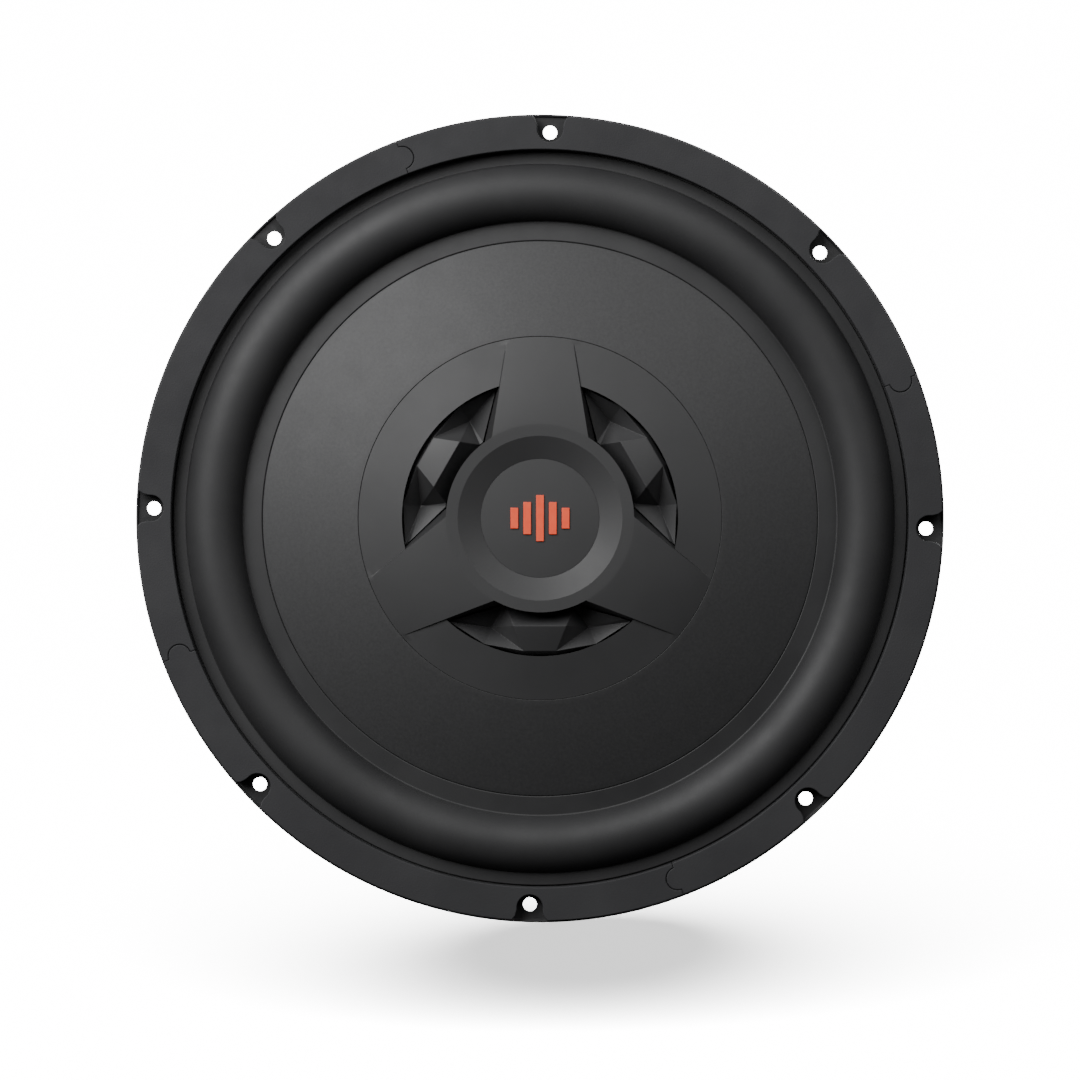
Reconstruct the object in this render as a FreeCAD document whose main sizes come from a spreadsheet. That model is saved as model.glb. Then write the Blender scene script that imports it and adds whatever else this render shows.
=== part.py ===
import FreeCAD, Part
import Sketcher
import math
import os
import re

# A twelve inch shallow-mount car subwoofer. Millimetres. The axis is Y: the front of the speaker faces
# -Y, +Z is up, and the origin is the centre of the flange's rear face, which rests on the baffle.
# "Station" words below are distances along +Y, behind that face, so what stands forward of it is
# negative. Azimuths run clockwise from the top as seen from the front.

Vector = FreeCAD.Vector

SIZES = {
    # basket
    "flange_dia": 318.0, "flange_thick": 1.5, "lip_wall": 0.9, "lip_rise": 2.6,
    "screw_inset": 7.0, "screw_hole": 5.5, "screw_turn": 1.5,
    "flange_width": 19.5, "spigot_depth": 12.0, "sheet_thick": 1.5,
    "shelf_outer": 110.0, "shelf_inner": 80.0, "shelf_station": 26.0, "seat_margin": 6.0,
    "arm_half": 13.0, "window_margin": 4.0, "seat_land": 8.1, "cooling_hole": 7.0,
    # gasket
    "gasket_width": 14.2, "gasket_thick": 7.5, "gasket_gap": 0.2, "gasket_turn": 69.1,
    "tab_radius": 4.4, "tab_place": 6.5, "tab_gap": 0.15, "notch_half": 5.1, "notch_depth": 4.3,
    "notch_mouth": 6.9, "notch_flare": 4.0,
    # surround
    "surround_thick": 1.2, "roll_margin": 5.4, "roll_height": 9.6, "roll_foot": 1.1,
    "surround_gap": 0.5, "surround_span": 30.3,
    # cone
    "cone_rise": 3.0, "cone_slope": 18.0, "cone_wall": 1.3, "rim_width": 6.4, "rim_gap": 1.7,
    "rim_slope": 15.0, "neck_station": 12.0, "neck_collar": 2.0, "seam": 0.4, "glue_gap": 0.1,
    # hub cover
    "cover_thick": 2.4, "cover_land": 7.0, "ring_width": 17.1, "window_width": 17.2, "hub_proud": 7.22,
    "hub_land": 4.6, "recess_slope": 8.9, "recess_depth": 3.0, "skirt_gap": 1.6, "skirt_wall": 1.6,
    "skirt_reach": 7.0, "hub_overhang": 1.5, "spoke_foot": 27.7, "spoke_taper": 12.4,
    # window inserts: each corner's angle from the window's middle, its place inside the window and
    # its drop behind the hub's face
    "side_angle": 40.0, "side_inset": 2.3, "side_drop": 6.6,
    "fold_angle": 24.0, "fold_inset": 7.0, "fold_drop": 14.6,
    "ridge_angle": 7.0, "ridge_inset": 1.7, "ridge_drop": 4.8,
    "crest_angle": 13.7, "crest_inset": 10.7, "crest_drop": 2.6,
    "root_angle": 20.7, "root_gap": 0.5, "root_drop": 10.1,
    "valley_angle": 23.0, "valley_drop": 10.2,
    "wall_angle": 41.2, "wall_drop": 7.2, "pan_wall": 1.6, "insert_gap": 0.15,
    # badge
    "badge_thick": 1.6, "badge_gap": 0.3,
    "bar_width": 3.0, "bar_pitch": 5.0, "bar_tall": 18.0, "bar_rise": 0.6,
    # voice coil
    "former_bore": 63.0, "former_wall": 0.5, "former_front": 9.0, "former_margin": 1.0,
    "coil_build": 1.2, "coil_gap": 0.7, "coil_length": 28.0,
    # spider
    "spider_space": 6.7, "spider_wall": 0.8, "spider_wave": 2.6, "spider_pitch": 10.0, "spider_land": 12.0,
    "spider_collar": 4.0, "spider_edge": 2.0,
    # motor
    "plate_front": 38.0, "plate_thick": 8.0, "plate_outer": 64.0,
    "magnet_thick": 24.0, "magnet_outer": 72.0, "magnet_step": 3.1,
    "back_thick": 8.0, "back_outer": 66.0, "pole_gap": 0.5, "pole_proud": 1.0, "vent_bore": 22.0,
    "ring_wall": 1.6, "ring_length": 14.0,
    "boot_wall": 2.5, "boot_gap": 0.3, "boot_lip": 60.0,
    "vent_flare": 3.0, "mesh_thick": 1.0, "mesh_inset": 5.0, "mesh_hole": 1.8, "mesh_pitch": 3.2,
    # motor screws
    "motor_screws": 6.0, "motor_screw_inset": 12.0, "motor_screw_dia": 5.0, "screw_head_dia": 9.0,
    "screw_head_thick": 2.0, "screw_clearance": 0.25, "screw_grip": 6.0,
    # terminal
    "block_wide": 52.0, "block_deep": 24.0, "block_thick": 10.0, "block_floor": 4.0, "block_inset": 11.0,
    "post_pitch": 22.0, "post_dia": 13.0, "post_tall": 9.0, "plunger_dia": 8.4, "plunger_gap": 0.08,
    "plunger_seat": 6.0, "cap_dia": 11.5, "cap_thick": 4.0, "press": 3.0,
    "wire_hole": 3.2, "wire_depth": 3.5,
    "tab_wide": 5.0, "tab_thick": 0.8, "tab_reach": 6.0, "tab_inset": 3.0,
    "slot_gap": 0.15, "tab_clear": 1.0,
    "spring_wire": 0.6, "spring_dia": 6.4, "spring_turns": 5.0,
    "rivet_dia": 3.0, "rivet_head": 5.6, "rivet_thick": 1.2, "rivet_edge": 1.0, "rivet_gap": 0.05,
    # leads
    "lead_dia": 2.2,
}

# Sizes that follow from the driving ones, so that what fits together stays together.
FOLLOWING = {
    "screw_circle": "flange_dia - 2 * screw_inset",
    "spigot_dia": "flange_dia - 2 * flange_width",
    "gasket_inner": "flange_dia / 2 - gasket_width",
    "tab_centre": "gasket_inner + tab_place",
    "roll_outer": "gasket_inner - roll_margin",
    "cone_edge": "roll_outer - surround_span",
    "cone_rim": "cone_edge + rim_width",
    "roll_inner": "cone_rim + rim_gap",
    "roll_radius": "((roll_outer - roll_inner) * (roll_outer - roll_inner) / 4 + roll_height * roll_height)"
                   " / (2 * roll_height)",
    "hub_radius": "former_bore / 2 + former_wall + skirt_gap + skirt_wall + hub_overhang",
    "recess_outer": "hub_radius - hub_land",
    "recess_inner": "recess_outer - recess_slope",
    "window_radius": "hub_radius + window_width",
    "cover_radius": "window_radius + ring_width",
    "cone_trough": "cover_radius - cover_land",
    "cover_rise": "cone_rise + (cone_edge - cover_radius) * tan(cone_slope * 1 deg)",
    "hub_rise": "cover_rise + hub_proud",
    "side_radius": "window_radius - side_inset",
    "fold_radius": "window_radius - fold_inset",
    "ridge_radius": "window_radius - ridge_inset",
    "crest_radius": "window_radius - crest_inset",
    "root_radius": "hub_radius + root_gap",
    "valley_radius": "hub_radius + root_gap",
    "side_rise": "hub_rise - side_drop",
    "fold_rise": "hub_rise - fold_drop",
    "ridge_rise": "hub_rise - ridge_drop",
    "crest_rise": "hub_rise - crest_drop",
    "root_rise": "hub_rise - root_drop",
    "valley_rise": "hub_rise - valley_drop",
    "wall_rise": "hub_rise - wall_drop",
    "gap_bore": "former_bore + 2 * (former_wall + coil_build + coil_gap)",
    "pole_dia": "former_bore - 2 * pole_gap",
    "magnet_inner": "gap_bore / 2 + magnet_step",
    "seat_inner": "gap_bore / 2 + seat_land",
    "seat_outer": "plate_outer + seat_margin",
    "motor_screw_circle": "2 * (plate_outer - motor_screw_inset)",
    "coil_front": "plate_front + plate_thick / 2 - coil_length / 2",
    "former_tail": "coil_front + coil_length + former_margin",
    "spider_station": "neck_station + cone_wall + neck_collar + spider_space",
    "spider_outer": "shelf_inner + spider_land",
    "block_centre": "shelf_outer - block_inset",
}

document = FreeCAD.newDocument("Subwoofer")
sheet = document.addObject("Spreadsheet::Sheet", "Sizes")
for row, (word, value) in enumerate(SIZES.items(), start=1):
    sheet.set(f"A{row}", word)
    sheet.set(f"B{row}", str(value))
    sheet.setAlias(f"B{row}", word)
document.recompute()

# Stations and radii that many pieces share, as formulas over the sheet.
RIM = "(flange_dia / 2)"
FLANGE_FRONT = "(0 - flange_thick)"
SPIGOT = "(spigot_dia / 2)"
SPIGOT_BORE = "(spigot_dia / 2 - sheet_thick)"
SHELF_FRONT = "(shelf_station - sheet_thick)"
SEAT_FRONT = "(plate_front - sheet_thick)"
PLATE_REAR = "(plate_front + plate_thick)"
MAGNET_REAR = "(plate_front + plate_thick + magnet_thick)"
BACK_REAR = "(plate_front + plate_thick + magnet_thick + back_thick)"
FORMER_OUTER = "(former_bore / 2 + former_wall)"
BLOCK_REAR = "(shelf_station + block_thick)"
POST_REAR = "(shelf_station + block_thick + post_tall)"
PLUNGER_FRONT = "(shelf_station + block_thick + post_tall - plunger_seat)"
BORE_FRONT = "(shelf_station + block_floor)"
RIVET_SIDE = "(block_wide / 2 - rivet_head / 2 - rivet_edge)"


def bound(formula):
    """The formula over the sheet's cells, with each following size spelled out."""

    def spell(match):
        word = match.group()
        if word in FOLLOWING:
            return f"({bound(FOLLOWING[word])})"
        return "Sizes." + word if word in SIZES else word

    return re.sub(r"[a-z]\w*", spell, formula)


def value(formula):
    """The number that a formula gives now."""
    number = sheet.evalExpression(bound(formula).replace("Sizes.", ""))
    return float(getattr(number, "Value", number))


def origin_part(body, role):
    return next(item for item in body.Origin.OriginFeatures if item.Role == role)


def new_body(label):
    body = document.addObject("PartDesign::Body", label)
    body.Label = label
    return body


def new_sketch(body, name, plane="XY_Plane", station=None):
    """A sketch on one of the body's own planes. The XZ plane may be moved back to a station."""
    sketch = body.newObject("Sketcher::SketchObject", name)
    sketch.AttachmentSupport = [(origin_part(body, plane), "")]
    sketch.MapMode = "FlatFace"
    if station:
        sketch.setExpression("AttachmentOffset.Base.z", bound(f"0 - {station}"))
    return sketch


def pin_point(sketch, edge, end, across, along):
    """Hold one end of an edge at the place that two formulas give."""
    for kind, formula in (("DistanceX", across), ("DistanceY", along)):
        place = sketch.addConstraint(Sketcher.Constraint(kind, -1, 1, edge, end, value(formula)))
        sketch.setExpression(f"Constraints[{place}]", bound(formula))


def outline(sketch, corners):
    """Close an outline through corners of (across, along). A corner that an arc follows adds
    (radius, side), where side is 1 for an arc that bulges left of its chord and -1 for right."""
    points = [Vector(value(corner[0]), value(corner[1]), 0) for corner in corners]
    ends = []
    for index, corner in enumerate(corners):
        start, stop = points[index], points[(index + 1) % len(points)]
        if len(corner) == 2:
            edge = sketch.addGeometry(Part.LineSegment(start, stop), False)
            ends.append((edge, 1, 2))
            continue
        radius, side = value(corner[2]), corner[3]
        chord = stop - start
        left = Vector(-chord.y, chord.x, 0).normalize()
        height = radius - math.sqrt(radius**2 - chord.Length**2 / 4)
        middle = (start + stop) / 2 + left * side * height
        edge = sketch.addGeometry(Part.Arc(start, middle, stop), False)
        place = sketch.addConstraint(Sketcher.Constraint("Radius", edge, radius))
        sketch.setExpression(f"Constraints[{place}]", bound(corner[2]))
        ends.append((edge, 2, 1) if side > 0 else (edge, 1, 2))
    for index, (edge, first, last) in enumerate(ends):
        following, follow_first = ends[(index + 1) % len(ends)][:2]
        sketch.addConstraint(Sketcher.Constraint("Coincident", edge, last, following, follow_first))
        pin_point(sketch, edge, first, corners[index][0], corners[index][1])
    return sketch


def revolve(body, name, corners):
    """Turn an outline of (radius, station) corners about the speaker's axis."""
    sketch = outline(new_sketch(body, name + "_outline"), corners)
    feature = body.newObject("PartDesign::Revolution", name)
    feature.Profile = sketch
    feature.ReferenceAxis = (origin_part(body, "Y_Axis"), [""])
    feature.Angle = 360
    return feature


def pad(body, sketch, length, name, rearward=False):
    """Raise a sketch of the XZ plane, forward unless it is told rearward."""
    feature = body.newObject("PartDesign::Pad", name)
    feature.Profile = sketch
    feature.setExpression("Length", bound(length))
    feature.Reversed = rearward
    return feature


def cut(body, sketch, name, depth=None):
    """Cut a sketch right through the body both ways, or rearward to a depth."""
    feature = body.newObject("PartDesign::Pocket", name)
    feature.Profile = sketch
    if depth:
        feature.setExpression("Length", bound(depth))
    else:
        feature.Type = 1
        feature.Midplane = True
    return feature


def repeat(body, feature, count, name):
    """Repeat a feature round the speaker's axis."""
    pattern = body.newObject("PartDesign::PolarPattern", name)
    pattern.Originals = [feature]
    pattern.Axis = (origin_part(body, "Y_Axis"), [""])
    pattern.Angle = 360
    pattern.setExpression("Occurrences", bound(str(count)))
    body.Tip = pattern
    return pattern


def polar(radius, turn):
    """A place on the XZ plane by radius and azimuth in degrees, clockwise from the top."""
    return f"{radius} * sin({turn} * 1 deg)", f"{radius} * cos({turn} * 1 deg)"


def circle(sketch, across, along, radius):
    """A round hole or boss on a sketch, its centre and radius held by formulas."""
    centre = Vector(value(across), value(along), 0)
    edge = sketch.addGeometry(Part.Circle(centre, Vector(0, 0, 1), value(radius)), False)
    pin_point(sketch, edge, 3, across, along)
    place = sketch.addConstraint(Sketcher.Constraint("Radius", edge, value(radius)))
    sketch.setExpression(f"Constraints[{place}]", bound(radius))
    return sketch


def rectangle(sketch, across, along, half_wide, half_tall):
    left, right = f"{across} - {half_wide}", f"{across} + {half_wide}"
    low, high = f"{along} - {half_tall}", f"{along} + {half_tall}"
    return outline(sketch, [(left, low), (right, low), (right, high), (left, high)])


def round_holes(body, name, radius, turn, hole_radius, count):
    """Equal holes through the body on a circle about the axis."""
    sketch = circle(new_sketch(body, name + "_outline", "XZ_Plane"), *polar(radius, turn), hole_radius)
    return repeat(body, cut(body, sketch, name + "_first"), count, name)


def window(body, name, inner, outer, foot, taper, middle):
    """The opening between two straight-sided spokes. The first spoke stands at azimuth 0, its edge
    line passes the axis at foot and leans by taper, and the window is mirrored about middle."""

    def corner(radius, mirrored):
        lean = f"(asin({foot} / {radius}) - {taper} * 1 deg)"
        turn = f"(2 * {middle} * 1 deg - {lean})" if mirrored else lean
        return f"{radius} * sin({turn})", f"{radius} * cos({turn})"

    return outline(new_sketch(body, name, "XZ_Plane"), [
        corner(inner, False), corner(outer, False) + (outer, 1),
        corner(outer, True), corner(inner, True) + (inner, -1),
    ])


def axial_cylinder(name, radius, front, length, across, up):
    """A plain cylinder along the axis' direction, from its front station rearward."""
    cylinder = document.addObject("Part::Cylinder", name)
    cylinder.Placement = FreeCAD.Placement(Vector(), FreeCAD.Rotation(Vector(1, 0, 0), -90))
    cylinder.setExpression("Radius", bound(radius))
    cylinder.setExpression("Height", bound(length))
    place_at(cylinder, across, front, up)
    return cylinder


def place_at(item, across, station, up):
    for letter, formula in zip("xyz", (across, station, up)):
        item.setExpression(f"Placement.Base.{letter}", bound(formula))


def group(name, items):
    """Separate solids that share one node."""
    together = document.addObject("Part::Compound", name)
    together.Links = items
    return together


def joined(name, items):
    whole = document.addObject("Part::MultiFuse", name)
    whole.Shapes = items
    return whole


def basket():
    """The stamped steel chassis: rim, flange, spigot, eight arms, shelf and seat."""
    body = new_body("basket")
    revolve(body, "chassis", [
        (RIM, "0 - lip_rise"), (RIM, "0"), (SPIGOT, "0"), (SPIGOT, "spigot_depth"),
        ("shelf_outer", "shelf_station"), ("shelf_inner", "shelf_station"),
        ("seat_outer", "plate_front"), ("seat_inner", "plate_front"),
        ("seat_inner", SEAT_FRONT), ("seat_outer - 0.7 * sheet_thick", SEAT_FRONT),
        ("shelf_inner - 0.7 * sheet_thick", SHELF_FRONT), ("shelf_outer - 0.25 * sheet_thick", SHELF_FRONT),
        (SPIGOT_BORE, "spigot_depth - 0.6 * sheet_thick"), (SPIGOT_BORE, FLANGE_FRONT),
        (f"{RIM} - lip_wall", FLANGE_FRONT), (f"{RIM} - lip_wall", "0 - lip_rise"),
    ])
    round_holes(body, "screw_holes", "screw_circle / 2", "screw_turn", "screw_hole / 2", 8)
    opening = window(body, "arm_window_outline", "(shelf_outer + window_margin / 2)",
                     f"({SPIGOT} - sheet_thick - window_margin)", "arm_half", "0", "22.5")
    repeat(body, cut(body, opening, "arm_window_cut"), 8, "arm_windows")
    round_holes(body, "cooling_holes", "(shelf_inner + seat_outer) / 2", "22.5", "cooling_hole / 2", 8)
    screw_hole = "motor_screw_dia / 2 + screw_clearance"
    round_holes(body, "motor_holes", "motor_screw_circle / 2", "0", screw_hole, "motor_screws")
    terminal = new_sketch(body, "terminal_outline", "XZ_Plane")
    for side in ("-1", "1"):
        circle(terminal, f"{side} * {RIVET_SIDE}", "0 - block_centre", "rivet_dia / 2 + rivet_gap")
        rectangle(terminal, f"{side} * post_pitch / 2", "0 - block_centre - tab_inset",
                  "(tab_wide / 2 + tab_clear)", "(tab_thick / 2 + tab_clear)")
    cut(body, terminal, "terminal_holes")
    return body


def gasket_segment(number):
    """A quarter of the trim gasket: its round tab fits the socket of the next quarter."""
    body = new_body(f"gasket_segment_{number}")
    outer = f"({RIM} - lip_wall - gasket_gap)"
    first, last = "(gasket_turn - 90)", "gasket_turn"
    ring = outline(new_sketch(body, "quarter_outline", "XZ_Plane"), [
        polar("gasket_inner", first), polar(outer, first) + (outer, 1),
        polar(outer, last), polar("gasket_inner", last) + ("gasket_inner", -1),
    ])
    pad(body, ring, "gasket_thick", "quarter")
    tab = circle(new_sketch(body, "tab_outline", "XZ_Plane"), *polar("tab_centre", last), "tab_radius")
    pad(body, tab, "gasket_thick", "tab")
    socket = new_sketch(body, "socket_outline", "XZ_Plane")
    circle(socket, *polar("tab_centre", first), "tab_radius + tab_gap")
    cut(body, socket, "socket")
    for place, turn in enumerate(("screw_turn", "(screw_turn + 45)"), start=1):
        notch(body, f"notch_{place}", turn, outer)
    quarter_turn = FreeCAD.Rotation(Vector(0, 1, 0), 90 * (number - 1))
    body.Placement = FreeCAD.Placement(Vector(0, -value("flange_thick"), 0), quarter_turn)
    return body


def notch(body, name, turn, outer):
    """A U-shaped notch round a screw hole, which flares where it meets the rim."""

    def at(sideways, outward):
        across = f"({outward}) * sin({turn} * 1 deg) + ({sideways}) * cos({turn} * 1 deg)"
        along = f"({outward}) * cos({turn} * 1 deg) - ({sideways}) * sin({turn} * 1 deg)"
        return across, along

    spring_line = "screw_circle / 2 - notch_depth + notch_half"
    shoulder = f"{outer} - notch_flare"
    outside = f"{RIM} + notch_mouth"
    arch = outline(new_sketch(body, name + "_outline", "XZ_Plane"), [
        at("0 - notch_half", spring_line) + ("notch_half * 1.001", -1), at("notch_half", spring_line),
        at("notch_half", shoulder), at("notch_mouth", outer), at("notch_mouth", outside),
        at("0 - notch_mouth", outside), at("0 - notch_mouth", outer), at("0 - notch_half", shoulder),
    ])
    cut(body, arch, name)


def surround():
    """The rubber half-roll, glued on the basket's flange and on the cone's rim."""
    body = new_body("surround")
    edge_front = f"({FLANGE_FRONT} - surround_thick)"
    foot = "(0 - roll_foot)"
    edge = "(gasket_inner - surround_gap)"
    revolve(body, "roll", [
        (edge, edge_front), (edge, FLANGE_FRONT), ("roll_outer - surround_thick", FLANGE_FRONT),
        ("roll_outer - surround_thick", edge_front, "(roll_radius - surround_thick)", 1),
        ("roll_inner + surround_thick", foot),
        ("roll_inner + 0.3 * surround_thick", f"{foot} + surround_thick"),
        ("cone_edge + seam", "surround_thick - cone_rise"), ("cone_edge + seam", "0 - cone_rise"),
        ("roll_inner", foot, "roll_radius", -1), ("roll_outer", edge_front),
    ])
    return body


def cone():
    """The fibre cone: a dish, a rim for the surround, a seat for the cover and a neck on the former."""
    body = new_body("cone")
    neck = f"({FORMER_OUTER} + glue_gap)"
    neck_rear = "(neck_station + cone_wall + neck_collar)"
    rim_front = "((cone_rim - cone_edge) * tan(rim_slope * 1 deg) + surround_thick + glue_gap - cone_rise)"
    revolve(body, "dish", [
        ("cone_rim", rim_front), ("cone_edge", "surround_thick + glue_gap - cone_rise"),
        ("cone_edge", "0 - cone_rise"),
        ("cover_radius + seam", "0 - cover_rise"), ("cover_radius + seam", "cover_thick - cover_rise"),
        ("cone_trough", "cover_thick - cover_rise"), (neck, "neck_station"), (neck, neck_rear),
        (f"{neck} + cone_wall", neck_rear), (f"{neck} + cone_wall", "neck_station + 0.5 * cone_wall"),
        ("cone_trough + 0.36 * cone_wall", "cone_wall + cover_thick - cover_rise"),
        ("cover_radius + seam + cone_wall", "cone_wall + cover_thick - cover_rise"),
        ("cone_rim", f"{rim_front} + cone_wall"),
    ])
    return body


def hub_cover():
    """The moulded three-spoke cover: a ring, spokes and a hub with a bevelled recess and a skirt."""
    body = new_body("hub_cover")
    skirt = "(hub_radius - hub_overhang)"
    floor = "(recess_depth + badge_thick - hub_rise)"
    skirt_rear = "(pan_wall - root_rise + skirt_reach)"
    revolve(body, "shell", [
        ("0", floor), ("recess_inner", floor), ("recess_inner", "recess_depth - hub_rise"),
        ("recess_outer", "0 - hub_rise"), ("hub_radius", "0 - hub_rise"),
        ("cover_radius", "0 - cover_rise"), ("cover_radius", "cover_thick - cover_rise"),
        ("cone_trough", "cover_thick - cover_rise"), (skirt, "cover_thick - hub_rise"), (skirt, skirt_rear),
        (f"{skirt} - skirt_wall", skirt_rear), (f"{skirt} - skirt_wall", f"{floor} + cover_thick"),
        ("0", f"{floor} + cover_thick"),
    ])
    opening = window(body, "window_outline", "hub_radius", "window_radius",
                     "spoke_foot", "spoke_taper", "60")
    repeat(body, cut(body, opening, "window_cut"), 3, "windows")
    return body


def window_insert(number):
    """A folded insert in one window: a tongue that dives to the hub, a valley each side, a steep wall."""
    places = {}
    for kind in ("side", "fold", "ridge", "crest", "root", "valley"):
        places[kind] = [value(f"{kind}_{word}") for word in ("angle", "radius", "rise")]
    places["middle"] = [0, value("root_radius"), value("root_rise")]
    for kind, angle in (("side", "wall_angle"), ("fold", "fold_angle"), ("ridge", "ridge_angle")):
        places["wall_" + kind] = [value(angle), value("window_radius - insert_gap"), value("wall_rise")]

    def corner(name, half, rearward):
        angle, radius, rise = places[name]
        turn = math.radians(angle * half)
        return Vector(radius * math.sin(turn), rearward - rise, radius * math.cos(turn))

    panels = (
        ("wall_side", "wall_fold", "fold", "side"), ("wall_fold", "wall_ridge", "ridge", "fold"),
        ("side", "fold", "valley"), ("fold", "ridge", "crest"), ("fold", "crest", "root"),
        ("fold", "root", "valley"),
        ("crest", "middle", "root"),
    )
    border = ("wall_ridge", "wall_fold", "wall_side", "side", "valley", "root")
    loop = [(name, 1) for name in border] + [("middle", 1)] + [(name, -1) for name in reversed(border)]
    faces = []
    for rearward in (0, value("pan_wall")):
        for half in (-1, 1):
            for names in panels:
                corners = [corner(name, half, rearward) for name in names]
                faces += [triangle(corners[0], *pair) for pair in zip(corners[1:], corners[2:])]
        middle = ("wall_ridge", "ridge", "crest")
        across = [(corner(name, -1, rearward), corner(name, 1, rearward)) for name in middle]
        for outer, inner in zip(across, across[1:]):
            faces += [triangle(*outer, inner[1]), triangle(outer[0], inner[1], inner[0])]
        faces.append(triangle(*across[-1], corner("middle", 1, rearward)))
    for (name, half), (next_name, next_half) in zip(loop, loop[1:] + loop[:1]):
        front, next_front = corner(name, half, 0), corner(next_name, next_half, 0)
        rear = corner(name, half, value("pan_wall"))
        next_rear = corner(next_name, next_half, value("pan_wall"))
        faces += [triangle(front, next_front, next_rear), triangle(front, next_rear, rear)]
    insert = document.addObject("Part::Feature", f"window_insert_{number}")
    insert.Shape = Part.Solid(Part.Shell(faces)).removeSplitter()
    insert.Placement = FreeCAD.Placement(Vector(), FreeCAD.Rotation(Vector(0, 1, 0), 120 * number - 60))
    return insert


def triangle(first, second, third):
    return Part.Face(Part.makePolygon([first, second, third, first]))


def centre_badge():
    """The plain disc in the hub's recess."""
    body = new_body("centre_badge")
    edge = "(recess_inner - badge_gap)"
    front, rear = "recess_depth - hub_rise", "recess_depth + badge_thick - hub_rise"
    revolve(body, "disc", [("0", front), (edge, front), (edge, rear), ("0", rear)])
    return body


def badge_emblem():
    """A generic sound-level sign: five upright bars, tallest in the middle."""
    bars = []
    for place in range(-2, 3):
        bar = document.addObject("Part::Box", f"bar_{place + 3}")
        tall = f"bar_tall * {(0.45, 0.7, 1.0)[2 - abs(place)]}"
        bar.setExpression("Length", bound("bar_width"))
        bar.setExpression("Width", bound("bar_rise"))
        bar.setExpression("Height", bound(tall))
        bar.setExpression("Placement.Base.x", bound(f"{place} * bar_pitch - bar_width / 2"))
        bar.setExpression("Placement.Base.y", bound("recess_depth - hub_rise - bar_rise"))
        bar.setExpression("Placement.Base.z", bound(f"0 - {tall} / 2"))
        bars.append(bar)
    return group("badge_emblem", bars)


def ring(name, inner, outer, front, rear):
    """A plain ring about the axis, as a body of its own."""
    body = new_body(name)
    revolve(body, "ring", [(inner, front), (outer, front), (outer, rear), (inner, rear)])
    return body


def spider():
    """The corrugated cloth suspension from the former to the basket's shelf."""
    body = new_body("spider")
    inner = f"({FORMER_OUTER} + glue_gap)"
    shelf = f"({SHELF_FRONT} - spider_wall)"
    first, last = f"({inner} + spider_collar)", "(shelf_inner - spider_edge)"
    halves = 2 * round(value(f"({last} - {first}) / spider_pitch"))
    front = [(inner, "spider_station"), (first, "spider_station")]
    for half in range(halves):
        share = (half + 0.5) / halves
        across = f"{first} * {1 - share:.4f} + {last} * {share:.4f}"
        front.append((across, f"spider_station {'-+'[half % 2]} spider_wave"))
    front += [(last, shelf), ("spider_outer", shelf)]
    rear = [(across, f"{along} + spider_wall") for across, along in reversed(front)]
    revolve(body, "waves", front + rear)
    return body


def top_plate():
    body = new_body("top_plate")
    bore = "(gap_bore / 2)"
    revolve(body, "plate", [
        (bore, "plate_front"), ("plate_outer - 1", "plate_front"), ("plate_outer", "plate_front + 1"),
        ("plate_outer", PLATE_REAR), (bore, PLATE_REAR),
    ])
    round_holes(body, "tapped_holes", "motor_screw_circle / 2", "0", "motor_screw_dia / 2", "motor_screws")
    return body


def yoke():
    """The back plate and its vented pole, forged as one."""
    body = new_body("yoke")
    vent, pole = "(vent_bore / 2)", "(pole_dia / 2)"
    pole_front = "(plate_front - pole_proud)"
    revolve(body, "forging", [
        (vent, pole_front), (f"{pole} - 1", pole_front), (pole, f"{pole_front} + 1"), (pole, MAGNET_REAR),
        ("back_outer", MAGNET_REAR), ("back_outer", f"{BACK_REAR} - 2"), ("back_outer - 2", BACK_REAR),
        (f"{vent} + vent_flare", BACK_REAR), (vent, f"{BACK_REAR} - vent_flare"),
    ])
    return body


def vent_mesh():
    """The punched disc that keeps dirt out of the pole's vent."""
    front = f"({BACK_REAR} - mesh_inset - mesh_thick)"
    disc = axial_cylinder("mesh_disc", "vent_bore / 2 - glue_gap", front, "mesh_thick", "0", "0")
    reach = value("vent_bore / 2 - mesh_hole")
    pitch = value("mesh_pitch")
    rows = int(reach / pitch) + 1
    holes = []
    for row in range(-rows, rows + 1):
        for column in range(-rows, rows + 1):
            across, up = (column + (row % 2) / 2) * pitch, row * pitch * math.sqrt(0.75)
            if math.hypot(across, up) > reach:
                continue
            share, rise = f"{across / pitch:.4f} * mesh_pitch", f"{up / pitch:.4f} * mesh_pitch"
            deep = "mesh_thick * 3"
            start = f"{front} - mesh_thick"
            holes.append(axial_cylinder(f"hole_{len(holes)}", "mesh_hole / 2", start, deep, share, rise))
    mesh = document.addObject("Part::Cut", "vent_mesh")
    mesh.Base = disc
    mesh.Tool = group("mesh_holes", holes)
    return mesh


def magnet_boot():
    """The rubber cover that is stretched over the magnet and the back plate."""
    body = new_body("magnet_boot")
    inside = "(magnet_outer + boot_gap)"
    outside = "(magnet_outer + boot_gap + boot_wall)"
    rear = f"({BACK_REAR} + boot_wall)"
    revolve(body, "cup", [
        (inside, PLATE_REAR), (outside, PLATE_REAR), (outside, f"{rear} - 3"), (f"{outside} - 3", rear),
        ("boot_lip", rear), ("boot_lip", BACK_REAR), (inside, BACK_REAR),
    ])
    return body


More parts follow.
